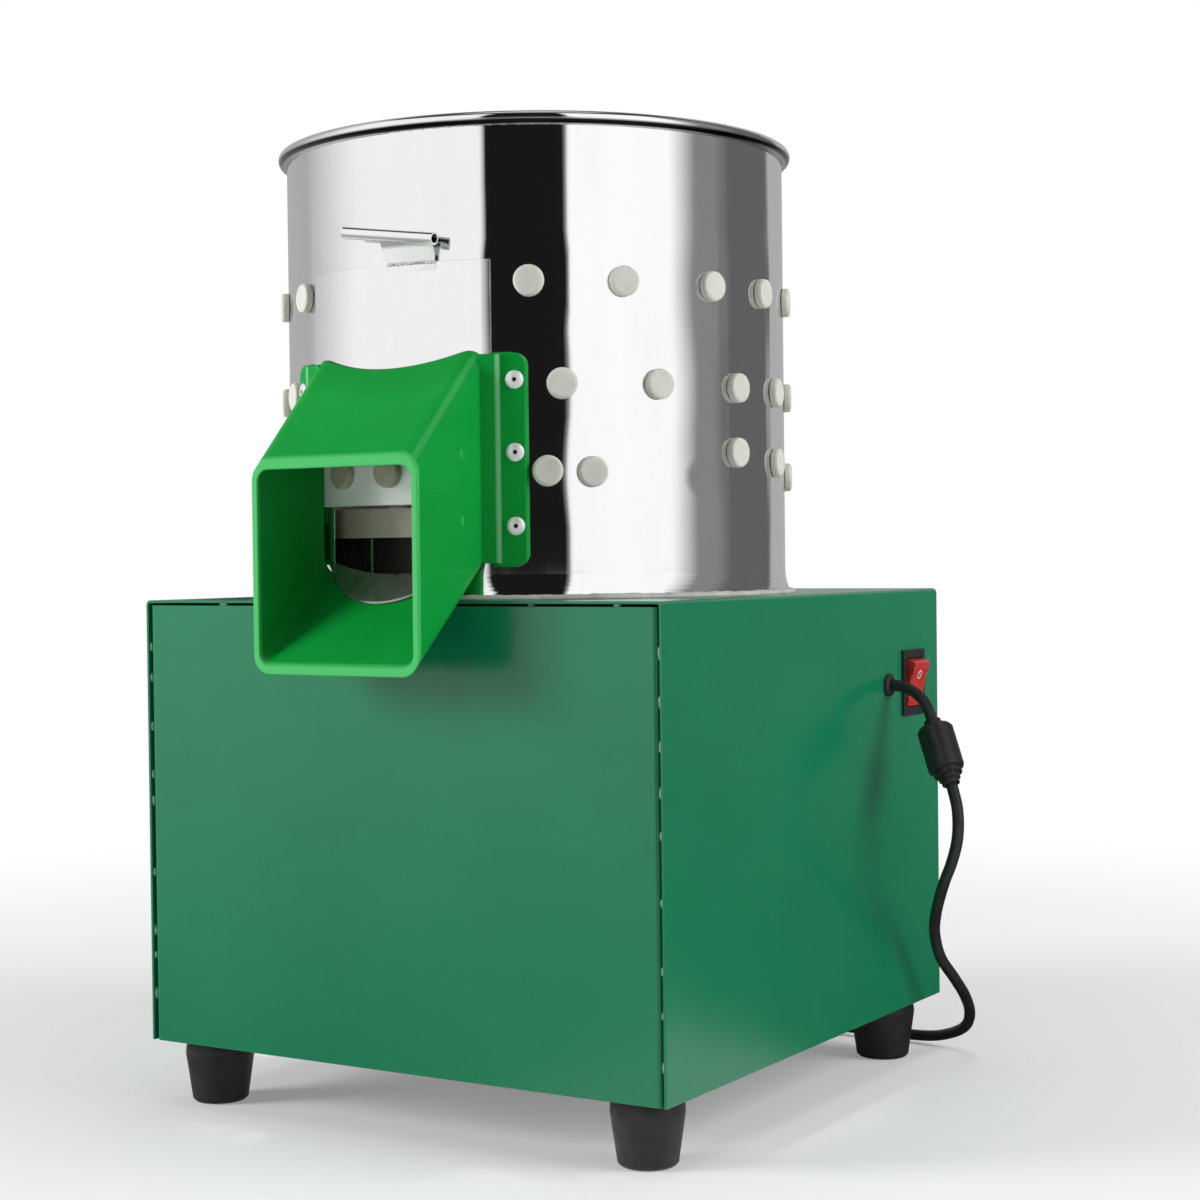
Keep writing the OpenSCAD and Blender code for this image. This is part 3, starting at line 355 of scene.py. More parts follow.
def belt_rubber():
    mat = Mat("belt_rubber", (0.02, 0.02, 0.021), 0.65)
    tone = mat.mottled((0.014, 0.014, 0.014), (0.035, 0.035, 0.034), 200, 4, 0.7, high=0.75)
    return mat.set(Base_Color=tone,
                   Normal=mat.rough(0.0001, 0.8, 1500, 3, under=mat.edge()))


def sealant():
    mat = Mat("sealant", (0.5, 0.5, 0.48), 0.32)
    return mat.set(Base_Color=mat.mottled((0.36, 0.37, 0.35), (0.62, 0.62, 0.6), 55, 5, 0.65, high=0.65),
                   Roughness=mat.gloss(0.22, 0.45, 120, 3),
                   Normal=mat.rough(0.0003, 0.5, 320, 3))


# Polished and dull steels
# Finger heads in the drum, degrees from the front and millimetres above the box
FINGERS = [(31.6, 174), (51.7, 174), (73.9, 174), (93, 174), (331.4, 174), (311.5, 174),
           (38.3, 118), (59.6, 118), (82, 118), (100.7, 118), (35.1, 70.3), (44.5, 69.7),
           (81.7, 81.3), (101, 77), (324.7, 118)]
# Dents in metres, with the fingers that have a depth of their own
FINGER_DENT_R = 0.034
FINGER_DENT = 0.0003
OWN_DENTS = {44.5: 0.00045, 35.1: 0.0002}
LONE_DENT = (70.3, 66.9)
LONE_DENT_R = 0.012
LONE_DENT_DEPTH = 0.00028
# Where a look starts and is full, in metres
RIM_PAINTED_SHADE = (0.5585, 0.5592)
WALL_INSIDE = (0.1497, 0.1493)
GATE_PAINTED_LIGHT = (0.41, 0.39)
GRIP_NECK_OUT = (0.1523, 0.1527)
GRIP_NECK_DOWN = (0.4955, 0.4935)


def on_drum(degrees, height):
    t = math.radians(degrees)
    return mm(DRUM_R * math.sin(t), -DRUM_R * math.cos(t), DECK + height)


def polished(name):
    """Rolled sheet with waviness and faint polishing streaks."""
    mat = Mat(name, (0.86, 0.86, 0.86), 0.03, 1.0)
    streak = mat.noise(60, 5, 0.6, (6, 6, 0.25))
    sheet = mat.rough(0.0009, 0.4, 4.5, 1, 0.4, (1, 1, 0.35), under=mat.edge(0.0004))
    waves = mat.rough(0.00025, 0.6, 13, 2, 0.45, (1, 1, 0.8), under=sheet)
    tone = mat.mottled((0.835, 0.835, 0.835), (0.885, 0.885, 0.885), 25, 4, 0.6, (1, 1, 0.2))
    return mat, tone, mat.spread(streak, 0.3, 0.7, 0.02, 0.05), streak, waves


def stainless():
    mat, tone, gloss, streak, waves = polished("stainless")
    return mat.set(Base_Color=tone, Roughness=gloss, Normal=mat.bump(streak, 0.000004, 0.5, waves))


def drum_steel():
    """Dented a little round each finger, with painted shade under the rolled rim, scuffed to satin inside."""
    mat, tone, gloss, streak, waves = polished("drum_steel")
    spots = [(on_drum(*at), FINGER_DENT_R, OWN_DENTS.get(at[0], FINGER_DENT)) for at in FINGERS]
    spots.append((on_drum(*LONE_DENT), LONE_DENT_R, LONE_DENT_DEPTH))
    dented = mat.bump(mat.dents(spots), 1.0, 1.0, waves)
    # Painted shade: the rim's down-facing faces are mixed to near-black.
    downward = mat.spread(mat.normal("Z"), -0.12, -0.42)
    under = mat.calc("MULTIPLY", downward, mat.spread(mat.axis("Z"), *RIM_PAINTED_SHADE))
    inside = mat.spread(mat.radius(), *WALL_INSIDE)
    satin = mat.mottled((0.56, 0.555, 0.545), (0.7, 0.695, 0.685), 40, 5, 0.65)
    return mat.set(Base_Color=mat.mix(inside, mat.mix(under, tone, (0.012, 0.013, 0.013)), satin),
                   Roughness=mat.calc("MULTIPLY_ADD", inside, 0.24, gloss),
                   Normal=mat.bump(streak, 0.000004, 0.5, dented))


def stainless_inner():
    mat = Mat("stainless_inner", (0.62, 0.62, 0.61), 0.2, 1.0)
    return mat.set(Base_Color=mat.mottled((0.56, 0.555, 0.54), (0.67, 0.67, 0.66), 18, 5, 0.6),
                   Roughness=mat.gloss(0.15, 0.28, 90, 5, 0.6, (8, 8, 0.5)),
                   Normal=mat.rough(0.0004, 0.4, 14, 2, under=mat.edge(0.0004)))


def gate_steel():
    """Bright above; paler, less metallic and matt low on the plate and on the welded neck of the grip,
    painted light that makes them look lit.
    """
    mat = Mat("gate_steel", (0.84, 0.84, 0.83), 0.1, 1.0)
    # Painted light: low on the plate and on the grip's neck the steel is made paler and less metallic.
    plate_painted_light = mat.spread(mat.axis("Z"), *GATE_PAINTED_LIGHT)
    outer = mat.spread(mat.radius(), *GRIP_NECK_OUT)
    neck = mat.calc("MULTIPLY", outer, mat.spread(mat.axis("Z"), *GRIP_NECK_DOWN))
    painted_light_mask = mat.calc("MAXIMUM", plate_painted_light, neck)
    rub = mat.noise(70, 5, 0.65, (1, 1, 0.3))
    bright = mat.ramp(rub, (0.3, (0.845, 0.845, 0.845)), (0.7, (0.88, 0.88, 0.88)))
    dull = mat.ramp(rub, (0.3, (0.88, 0.88, 0.875)), (0.7, (0.94, 0.94, 0.94)))
    gloss = mat.spread(rub, 0.3, 0.7, 0.02, 0.05)
    return mat.set(Base_Color=mat.mix(painted_light_mask, bright, dull),
                   Roughness=mat.calc("ADD", gloss, mat.calc("MULTIPLY", painted_light_mask, 0.3)),
                   Metallic=mat.spread(painted_light_mask, 0.0, 1.0, 1.0, 0.15),
                   Normal=mat.rough(0.00025, 0.6, 13, 2, 0.45, under=mat.edge(0.0004)))


def tongue_steel():
    mat = Mat("tongue_steel", (0.42, 0.43, 0.42), 0.34, 0.9)
    return mat.set(Base_Color=mat.mottled((0.3, 0.31, 0.3), (0.5, 0.51, 0.5), 45, 5, 0.65),
                   Roughness=mat.gloss(0.26, 0.44, 160, 4),
                   Normal=mat.rough(0.0004, 0.5, 30, 2, under=mat.edge(0.0006)))


def table_steel():
    """Satin sheet with a beige film on its upright rim."""
    mat = Mat("table_steel", (0.6, 0.59, 0.57), 0.25, 0.9)
    film = mat.spread(mat.normal("Z"), 0.75, 0.35)
    soil = mat.noise(28, 5, 0.65, (1, 1, 0.4))
    clean = mat.ramp(soil, (0.3, (0.56, 0.555, 0.54)), (0.7, (0.67, 0.67, 0.66)))
    beige = mat.ramp(soil, (0.3, (0.36, 0.31, 0.25)), (0.7, (0.5, 0.45, 0.38)))
    gloss = mat.spread(soil, 0.3, 0.7, 0.16, 0.28)
    return mat.set(Base_Color=mat.mix(film, clean, beige),
                   Metallic=mat.spread(film, 0.0, 1.0, 1.0, 0.25),
                   Roughness=mat.calc("ADD", gloss, mat.calc("MULTIPLY", film, 0.25)),
                   Normal=mat.rough(0.0004, 0.4, 14, 2, under=mat.edge(0.0004)))


# Small metal
def zinc():
    mat = Mat("zinc", (0.55, 0.56, 0.58), 0.35, 1.0)
    return mat.set(Base_Color=mat.ramp(mat.cells(700), (0.0, (0.46, 0.47, 0.49)), (0.6, (0.62, 0.63, 0.66))),
                   Roughness=mat.gloss(0.28, 0.46, 300, 4),
                   Normal=mat.edge(0.0004))


def weld():
    mat = Mat("weld", (0.7, 0.7, 0.69), 0.5, 0.4)
    return mat.set(Base_Color=mat.mottled((0.55, 0.55, 0.54), (0.84, 0.84, 0.83), 400, 4, 0.6),
                   Roughness=mat.gloss(0.35, 0.6, 600, 3),
                   Normal=mat.rough(0.0002, 0.7, 900, 3))


def painted_weld():
    mat = Mat("painted_weld", (0.12, 0.32, 0.2), 0.35)
    return mat.set(Base_Color=mat.mottled((0.05, 0.25, 0.14), (0.3, 0.46, 0.36), 500, 4, 0.6),
                   Roughness=mat.gloss(0.25, 0.45, 600, 3),
                   Normal=mat.rough(0.0002, 0.7, 900, 3))


def rivet():
    mat = Mat("rivet", (0.88, 0.88, 0.88), 0.4, 0.55)
    return mat.set(Base_Color=mat.mottled((0.82, 0.82, 0.82), (0.93, 0.93, 0.93), 260, 4),
                   Roughness=mat.gloss(0.3, 0.48, 420, 4),
                   Normal=mat.edge(0.0003))


def rivet_core():
    # Painted shade: the stems are near-black for the shade in the rivets' hollow cores.
    mat = Mat("rivet_core", (0.02, 0.02, 0.022), 0.5, 0.6)
    return mat.set(Base_Color=mat.mottled((0.012, 0.012, 0.013), (0.04, 0.04, 0.042), 900, 3),
                   Normal=mat.rough(0.0001, 0.6, 2500, 2))


# Plastics
def chute_plastic():
    """Glossy moulding, paler at the thin lip (its rough cut edge and a painted highlight), along scuffs, with
    painted highlights on the roof's ridges and in the flange folds.
    """
    mat = Mat("chute_plastic", (0.004, 0.28, 0.038), 0.34, Specular_IOR_Level=0.07)
    tone = mat.mottled((0.003, 0.26, 0.032), (0.0055, 0.3, 0.045), 9, 4, 0.6, (1, 0.4, 1), 0.6)
    # The lip's front is mixed paler: partly its rough cut edge, partly a painted highlight.
    lip = mat.spread(mat.axis("Y"), -0.1992, -0.2016)
    scuff = mat.spread(mat.noise(160, 4, 0.7, (1, 0.08, 1)), 0.64, 0.76, 0.0, 0.14)
    pale = mat.calc("MAXIMUM", mat.calc("MULTIPLY", lip, 0.8), scuff)
    # Painted highlights along the roof's two ridges.
    for side in (-1, 1):
        ridge_highlight = mat.stripe((52.8 * side, -202, 374.3), (53.8 * side, -137.5, 440.3), 2.6)
        pale = mat.calc("MAXIMUM", pale, mat.calc("MULTIPLY", ridge_highlight, 0.3))
    tone = mat.mix(pale, tone, (0.1, 0.56, 0.17))
    # Painted highlights along the two flange folds.
    for side in (-1, 1):
        fold_highlight = mat.stripe((66.0 * side, -140.8, 321), (66.0 * side, -140.8, 433), 1.9)
        tone = mat.mix(mat.calc("MULTIPLY", fold_highlight, 0.62), tone, (0.28, 0.6, 0.36))
    waves = mat.rough(0.0006, 0.3, 14, 1, under=mat.edge(0.0012))
    return mat.set(Base_Color=tone,
                   Roughness=mat.gloss(0.26, 0.42, 40, 5, 0.6),
                   Normal=mat.rough(0.00003, 0.5, 1200, 2, under=waves))


def chute_pale_mark():
    # Paler green for the small raised marks on the chute's walls.
    mat = Mat("chute_pale_mark", (0.02, 0.36, 0.08), 0.4, Specular_IOR_Level=0.2)
    return mat.set(Base_Color=mat.mottled((0.01, 0.31, 0.055), (0.04, 0.42, 0.12), 600, 4, 0.6),
                   Normal=mat.rough(0.00005, 0.5, 1500, 2))


def mark_white():
    mat = Mat("mark_white", (0.75, 0.74, 0.72), 0.4)
    return mat.set(Base_Color=mat.mottled((0.66, 0.64, 0.62), (0.8, 0.79, 0.77), 700, 3),
                   Normal=mat.rough(0.00003, 0.5, 2200, 2))


def rocker_red():
    mat = Mat("rocker_red", (0.5, 0.02, 0.018), 0.26, Coat_Weight=0.4)
    return mat.set(Base_Color=mat.mottled((0.44, 0.014, 0.013), (0.58, 0.028, 0.024), 90, 3),
                   Roughness=mat.gloss(0.2, 0.34, 260, 3),
                   Normal=mat.edge(0.0006))


def dark_plastic():
    mat = Mat("dark_plastic", (0.014, 0.014, 0.015), 0.38)
    return mat.set(Base_Color=mat.mottled((0.011, 0.011, 0.012), (0.022, 0.022, 0.023), 80, 4, high=0.75),
                   Roughness=mat.gloss(0.3, 0.46, 150, 4),
                   Normal=mat.rough(0.00004, 0.6, 1600, 2, under=mat.edge(0.0005)))


def cord_black():
    mat = Mat("cord_black", (0.012, 0.012, 0.012), 0.4)
    return mat.set(Base_Color=mat.mottled((0.009, 0.009, 0.009), (0.019, 0.019, 0.019), 120, 4, high=0.75),
                   Roughness=mat.gloss(0.33, 0.5, 200, 4),
                   Normal=mat.rough(0.00005, 0.6, 1800, 2))


# Drive inside the box
def cast():
    mat = Mat("cast", (0.2, 0.205, 0.21), 0.55, 0.85)
    return mat.set(Base_Color=mat.mottled((0.13, 0.135, 0.14), (0.27, 0.275, 0.28), 45, 5, 0.65),
                   Roughness=mat.gloss(0.42, 0.66, 90, 4),
                   Normal=mat.rough(0.0002, 0.6, 700, 4, 0.6, under=mat.edge()))


def bright_steel():
    mat = Mat("bright_steel", (0.56, 0.56, 0.57), 0.22, 1.0)
    return mat.set(Base_Color=mat.mottled((0.5, 0.5, 0.51), (0.62, 0.62, 0.63), 60, 4),
                   Roughness=mat.gloss(0.16, 0.32, 30, 4, 0.6, (1, 1, 30)),
                   Normal=mat.edge(0.0004))


def motor_alloy():
    mat = Mat("motor_alloy", (0.09, 0.1, 0.11), 0.45, 0.35)
    return mat.set(Base_Color=mat.mottled((0.07, 0.078, 0.086), (0.115, 0.125, 0.135), 40, 5, 0.6),
                   Roughness=mat.gloss(0.36, 0.56, 80, 4),
                   Normal=mat.rough(0.0001, 0.6, 800, 3, under=mat.edge()))


def copper_pack():
    mat = Mat("copper_pack", (0.42, 0.2, 0.1), 0.4, 0.7)
    return mat.set(Base_Color=mat.mottled((0.3, 0.13, 0.06), (0.52, 0.26, 0.13), 500, 3, 0.6, (1, 1, 0.1)),
                   Normal=mat.rough(0.0004, 0.7, 900, 2, 0.5, (1, 1, 0.05)))


def capacitor_can():
    mat = Mat("capacitor_can", (0.6, 0.61, 0.62), 0.3, 1.0)
    return mat.set(Base_Color=mat.mottled((0.53, 0.54, 0.55), (0.68, 0.69, 0.7), 35, 4),
                   Roughness=mat.gloss(0.24, 0.42, 25, 4, 0.6, (1, 1, 20)),
                   Normal=mat.edge(0.001))


MATERIALS = (green_paint, frame_paint, foot_rubber, zinc, stainless, drum_steel, stainless_inner, sealant,
             gate_steel, tongue_steel, table_steel, weld, painted_weld, rivet_core, mark_white, finger_rubber,
             stained_and_shaded_rubber, chute_plastic, chute_pale_mark, rivet, cast, bright_steel, belt_rubber, motor_alloy,
             copper_pack, dark_plastic, capacitor_can, rocker_red, cord_black)
MATS = {make.__name__: make() for make in MATERIALS}
OWN_FINISH = {"drum_shell": "drum_steel", "gate_plate": "gate_steel", "outlet_tongue": "tongue_steel",
              "turntable": "table_steel", "gate_fingers": "stained_and_shaded_rubber"}


def dress_solids():
    """Gives every solid the material of its slot, and a few solids a finish of their own."""
    for solid in NODE.values():
        for slot in solid.material_slots:
            name = slot.material.name.split(".")[0] if slot.material else ""
            slot.material = MATS.get(name, slot.material)
    for node, name in OWN_FINISH.items():
        NODE[node].material_slots[0].material = MATS[name]


# Mesh helpers
def skin(bm, rows, closed=False):
    """Faces between rings of points. The end rings are capped unless the rows close up."""
    sides = len(rows[0])
    pairs = list(zip(rows, rows[1:]))
    if closed:
        pairs.append((rows[-1], rows[0]))
    for first, second in pairs:
        for j in range(sides):
            k = (j + 1) % sides
            bm.faces.new((first[j], first[k], second[k], second[j]))
    if not closed:
        bm.faces.new(rows[0][::-1])
        bm.faces.new(rows[-1])


TUBE_REFERENCE = Vector((0.9397, 0, -0.342))


def tube_loop(bm, points, radius, sides=10, closed=True):
    """Round tube along points, as a loop or with capped ends."""
    last = len(points) - 1
    turns = [2 * math.pi * j / sides for j in range(sides)]
    rows = []
    for i, point in enumerate(points):
        before = points[i - 1] if closed else points[max(i - 1, 0)]
        after = points[(i + 1) % len(points)] if closed else points[min(i + 1, last)]
        along = (after - before).normalized()
        across = along.cross(TUBE_REFERENCE).normalized()
        over = along.cross(across)
        rims = [(across * math.cos(t) + over * math.sin(t)) * radius for t in turns]
        rows.append([bm.verts.new(point + rim) for rim in rims])
    skin(bm, rows, closed)


def blob(bm, at, axes, seed, rough=0.28):
    """Small lump of weld or moulding, uneven by its seed."""
    for vert in bmesh.ops.create_icosphere(bm, subdivisions=2, radius=1.0)["verts"]:
        swell = 1 + rough * noise.noise(vert.co * 1.7 + Vector((seed * 3.1, seed * 1.7, seed * 0.9)))
        vert.co = at + sum((axis * part for axis, part in zip(axes, vert.co * swell)), Vector())


def piece(name, bm, slot, body, finish=None, smooth=True):
    mesh = bpy.data.meshes.new(name)
    bmesh.ops.recalc_face_normals(bm, faces=bm.faces)
    bm.to_mesh(mesh)
    bm.free()
    for face in mesh.polygons:
        face.use_smooth = smooth
    mesh.materials.append(MATS[finish or slot])
    made = bpy.data.objects.new(name, mesh)
    scene.collection.objects.link(made)
    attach(made, body)
    return made


# Cord route, as in the solids
LEAD_R = 30.0
LEAD_TURN = 65.5
LEAD_LEAN = math.radians(20)
LEAD_OUT = 3.0
BARREL_GAP = 4.0
BARREL_LEN = 44.4
CORD_Y = MID + 101
CORD_Z = DECK - 58.5
REAR = BACK + 16
TURNS = 4
COIL_Z = CORD_R + 1.4
COIL_PITCH = 7.6
COIL_R = 34.0
COIL_AT = V(SIDE - 140, REAR + COIL_R + COIL_PITCH * TURNS / 2, 0)
COIL_STEPS = 48
CURVE_STEPS = 8
LEAST_STEP = 0.8
# Hanging run, out from the side, back from the box centre, per cent of the barrel's height
HANG = [(55, 77, 93), (56, 76, 87), (54, 78, 81), (48, 84, 74), (41, 91, 68), (33, 101, 61), (26, 111, 54),
        (21, 121, 47), (20, 132, 38), (24, 144, 30), (26, 156, 23)]
LEAD_SIDE = V(0, -math.sin(LEAD_LEAN), -math.cos(LEAD_LEAN))
BARREL_U = math.cos(math.radians(LEAD_TURN)) * V(1, 0, 0) + math.sin(math.radians(LEAD_TURN)) * LEAD_SIDE


def lead_at(degrees):
    t = math.radians(degrees)
    return (V(SIDE + LEAD_OUT, CORD_Y, CORD_Z) + LEAD_R * math.sin(t) * V(1, 0, 0)
            + LEAD_R * (1 - math.cos(t)) * LEAD_SIDE)


def coil_at(turn):
    """Spirals in, climbs a layer and spirals out again."""
    r = COIL_R + COIL_PITCH * abs(turn - TURNS / 2)
    t = math.radians(-90 - 360 * turn)
    climb = max(0, min(1, (turn - TURNS / 2 + 0.25) / 0.5))
    return V(COIL_AT.x + r * math.cos(t), COIL_AT.y + r * math.sin(t), COIL_Z + COIL_PITCH * climb)


def smoothed(points, steps):
    """Points of a smooth curve through the given ones."""
    out = []
    last = len(points) - 1
    for i in range(last):
        a, b, c, d = points[max(0, i - 1)], points[i], points[i + 1], points[min(last, i + 2)]
        for step in range(steps):
            t = step / steps
            out.append(0.5 * (2 * b + (c - a) * t + (2 * a - 5 * b + 4 * c - d) * t * t
                              + (3 * b - a - 3 * c + d) * t ** 3))
    return out + [points[-1]]


BARREL_A = lead_at(LEAD_TURN) + BARREL_GAP * BARREL_U
BARREL_B = BARREL_A + BARREL_LEN * BARREL_U
LEAD = [V(SIDE - 14, CORD_Y, CORD_Z), V(SIDE - 6, CORD_Y, CORD_Z)]
LEAD += [lead_at(LEAD_TURN * i / 4) for i in range(5)] + [BARREL_A]
TAIL = [BARREL_B, BARREL_B + 4 * BARREL_U]
TAIL += [V(SIDE + x, MID + y, share / 100 * BARREL_B.z) for x, y, share in HANG]
TAIL += [V(SIDE + 24, BACK - 8, 29), V(SIDE + 16, BACK + 4, 17), V(SIDE + 1, BACK + 12, 9),
         V(SIDE - 17, REAR, COIL_Z + 0.1), V(SIDE - 45, REAR, COIL_Z), V(SIDE - 75, REAR, COIL_Z),
         V(SIDE - 107, REAR, COIL_Z), V(COIL_AT.x + 7, REAR, COIL_Z)]
PLUG = [V(COIL_AT.x - 7, REAR, COIL_Z + COIL_PITCH), V(COIL_AT.x - 15, REAR, COIL_Z + COIL_PITCH),
        V(COIL_AT.x - 34, REAR, 13.5), V(COIL_AT.x - 52, BACK + 20, 17),
        V(COIL_AT.x - 66, BACK + 24, 19.2), V(COIL_AT.x - 76, BACK + 24, 19.2)]


def cord_line():
    """The whole route in millimetres, from inside the grommet to inside the plug."""
    line = [p for p in smoothed(LEAD, CURVE_STEPS) if p.x > SIDE - 3]
    line += [BARREL_A + (BARREL_B - BARREL_A) * share for share in (0.25, 0.5, 0.75)]
    line += smoothed(TAIL, CURVE_STEPS)
    line += [coil_at(i / COIL_STEPS) for i in range(COIL_STEPS * TURNS + 1)]
    line += smoothed(PLUG, CURVE_STEPS) + [PLUG[-1] + V(-3, 0, 0)]
    kept = [line[0]]
    for p in line[1:]:
        if (p - kept[-1]).length > LEAST_STEP:
            kept.append(p)
    return kept


CORD_LINE = cord_line()


def mains_cord():
    curve = bpy.data.curves.new("mains_cord", "CURVE")
    curve.dimensions = "3D"
    curve.bevel_depth = 1.0
    curve.bevel_resolution = 5
    curve.use_fill_caps = True
    spline = curve.splines.new("POLY")
    spline.points.add(len(CORD_LINE) - 1)
    for point, p in zip(spline.points, CORD_LINE):
        point.co = (*(p * MM), 1)
        point.radius = CORD_R * MM
    spline.use_smooth = True
    curve.materials.append(MATS["cord_black"])
    cord = bpy.data.objects.new("mains_cord", curve)
    scene.collection.objects.link(cord)
    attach(cord, "base")
    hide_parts("cord_lead", "cord_tail", "cord_coil", "cord_plug_lead")
    return cord


# Tie round the coil
TIE_R = CORD_R + 0.15
TIE_T = 0.9
TIE_W = 2.6
TIE_TOP = COIL_Z + COIL_PITCH + TIE_R
TIE_HEAD = (6.4, 6.8, 3.8)
TIE_HEAD_X = 43
TIE_TAIL_X = 45
TIE_TAIL_STEP = 1.1
TIE_TAIL_STEPS = 11
TIE_TAIL_CURL = 0.045


def half_hull(points):
    out = []
    for x, y in points:
        while len(out) > 1 and ((out[-1][0] - out[-2][0]) * (y - out[-2][1])
                                - (out[-1][1] - out[-2][1]) * (x - out[-2][0])) <= 0:
            out.pop()
        out.append((x, y))
    return out[:-1]


def strap_row(bm, at, out):
    """Cross-section of the strap at a point, given the direction that it faces."""
    shape = ((-TIE_W, 0.1), (TIE_W, 0.1), (TIE_W, TIE_T * 0.7), (TIE_W * 0.8, TIE_T), (-TIE_W * 0.8, TIE_T),
             (-TIE_W, TIE_T * 0.7))
    return [bm.verts.new((COIL_AT + V(at[0] + out[0] * h, y, at[1] + out[1] * h)) * MM) for y, h in shape]


def strap_loop(bm):
    """The strap drawn tight over the four runs of the coil."""
    runs = [coil_at(n + 0.75) - COIL_AT for n in range(TURNS)]
    turns = [i * math.pi / 18 for i in range(36)]
    rim = sorted((round(run.x + TIE_R * math.cos(t), 6), round(run.z + TIE_R * math.sin(t), 6))
                 for run in runs for t in turns)
    hull = half_hull(rim) + half_hull(rim[::-1])
    rows = []
    for i, at in enumerate(hull):
        before = hull[i - 1]
        after = hull[(i + 1) % len(hull)]
        dx = after[0] - before[0]
        dz = after[1] - before[1]
        size = math.hypot(dx, dz)
        rows.append(strap_row(bm, at, (dz / size, -dx / size)))
    skin(bm, rows, closed=True)


def strap_tail(bm):
    rows = []
    for i in range(TIE_TAIL_STEPS):
        at = (TIE_TAIL_X + TIE_TAIL_STEP * i, TIE_TOP + TIE_T + TIE_TAIL_CURL * i * i)
        rows.append(strap_row(bm, at, (-2 * TIE_TAIL_CURL * i, 1)))
    skin(bm, rows)


def strap_head(bm):
    head = bmesh.ops.create_cube(bm, size=1.0)["verts"]
    for vert in head:
        x, y, z = (part * size for part, size in zip(vert.co, TIE_HEAD))
        vert.co = (COIL_AT + V(TIE_HEAD_X + x, y, TIE_TOP + TIE_HEAD[2] / 2 + z)) * MM
    edges = [e for e in bm.edges if e.verts[0] in head and e.verts[1] in head]
    bmesh.ops.bevel(bm, geom=edges, offset=0.9 * MM, segments=3, profile=0.5, affect="EDGES")


def coil_tie():
    bm = bmesh.new()
    strap_loop(bm)
    strap_tail(bm)
    strap_head(bm)
    tie = piece("coil_tie", bm, "cord_black", "base", "dark_plastic", smooth=False)
    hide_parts("cord_tie")
    return tie


# Sealant bead laid by hand round the foot of the drum
BEAD_STEPS = 260
BEAD_SIDES = 9
BEAD_POWER = 0.8
BEAD_W = 2.6
BEAD_W_MOST = 3.5
BEAD_H = 2.7
BEAD_H_MOST = 3.3


def foot_radius(z):
    return DRUM_R + FLARE_OUT * (1 - z / FLARE_H) ** 2 - 0.05


def bead_ring(bm, turn):
    slow = noise.noise(Vector((math.cos(turn) * 7, math.sin(turn) * 7, 1.3)))
    quick = noise.noise(Vector((math.cos(turn) * 26, math.sin(turn) * 26, 5.1)))
    width = min(BEAD_W + 0.9 * slow + 0.6 * quick, BEAD_W_MOST)
    height = min(BEAD_H + 0.7 * quick + 0.5 * slow, BEAD_H_MOST)
    top = foot_radius(height)
    low = foot_radius(0)
    outline = []
    for j in range(BEAD_SIDES):
        t = math.pi / 2 * j / (BEAD_SIDES - 1)
        r = top + (low - top + width) * math.sin(t) ** BEAD_POWER
        outline.append((r, max(0.0, height * math.cos(t) ** BEAD_POWER)))
    outline.append((low, 0.0))
    return [bm.verts.new(mm(r * math.cos(turn), r * math.sin(turn), DECK + z)) for r, z in outline]


def seal_bead():
    bm = bmesh.new()
    skin(bm, [bead_ring(bm, 2 * math.pi * i / BEAD_STEPS) for i in range(BEAD_STEPS)], closed=True)
    seal = piece("seal_bead", bm, "sealant", "base")
    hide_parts("drum_seal")


# Tack welds along the seams of the box
TACK_HEIGHTS = [273, 248, 225, 201, 179, 144, 109, 86, 59]
TACK_PLACES = (-118, -52, 96, 150)
TACK_LENGTHS = (2.2, 3.6)
TACK_SHIFT = 7
SEAM_IN = 2.25
SEAM_INSET = 1.6


def seam_welds(rng):
    """Tacks at set heights on the corner that the photograph shows, shifted a little on the others."""
    bm = bmesh.new()
    seed = 0
    for side in (-1, 1):
        for y in (FRONT + SEAM_INSET, BACK - SEAM_INSET):
            shown = side == 1 and y < 0
            for height in TACK_HEIGHTS:
                seed += 1
                z = height if shown else height + rng.uniform(-TACK_SHIFT, TACK_SHIFT)
                at = mm(side * (SIDE - SEAM_IN), y, z)
                blob(bm, at, (X * 1.0, Y * 1.1, Z * rng.uniform(*TACK_LENGTHS)), seed)
    for y in (FRONT + SEAM_INSET, BACK - SEAM_INSET):
        for x in TACK_PLACES:
            seed += 1
            at = mm(x, y, DECK - SEAM_IN)
            blob(bm, at, (X * rng.uniform(*TACK_LENGTHS), Y * 1.1, Z * 0.9), seed)
    piece("seam_welds", bm, "green_paint", "base", "painted_weld")


# Weld of the grip's neck on the gate
NECK_WELDS = 15
NECK_FROM = 0.6
NECK_SWEEP = 11.0
NECK_R = 151.9
NECK_Z = 186.2
NECK_SEED = 50


def gate_welds(rng):
    bm = bmesh.new()
    for i in range(NECK_WELDS):
        out, along = around(NECK_FROM + NECK_SWEEP * i / (NECK_WELDS - 1))
        r = NECK_R + rng.uniform(-0.1, 0.25)
        z = DECK + NECK_Z + rng.uniform(-0.7, 0.5)
        at = out * r * MM + Vector((0, 0, z * MM))
        axes = (along * rng.uniform(0.9, 1.6) * MM, out * 0.7 * MM, Z * rng.uniform(0.8, 1.5))
        blob(bm, at, axes, NECK_SEED + i, 0.4)
    piece("gate_welds", bm, "stainless", "gate", "weld")


# Small raised moulding marks on the chute's side walls
MARK_X = 56.5
MARK_Y = -162
MARK_HEIGHTS = (379, 343)
MARK_SEED = 80


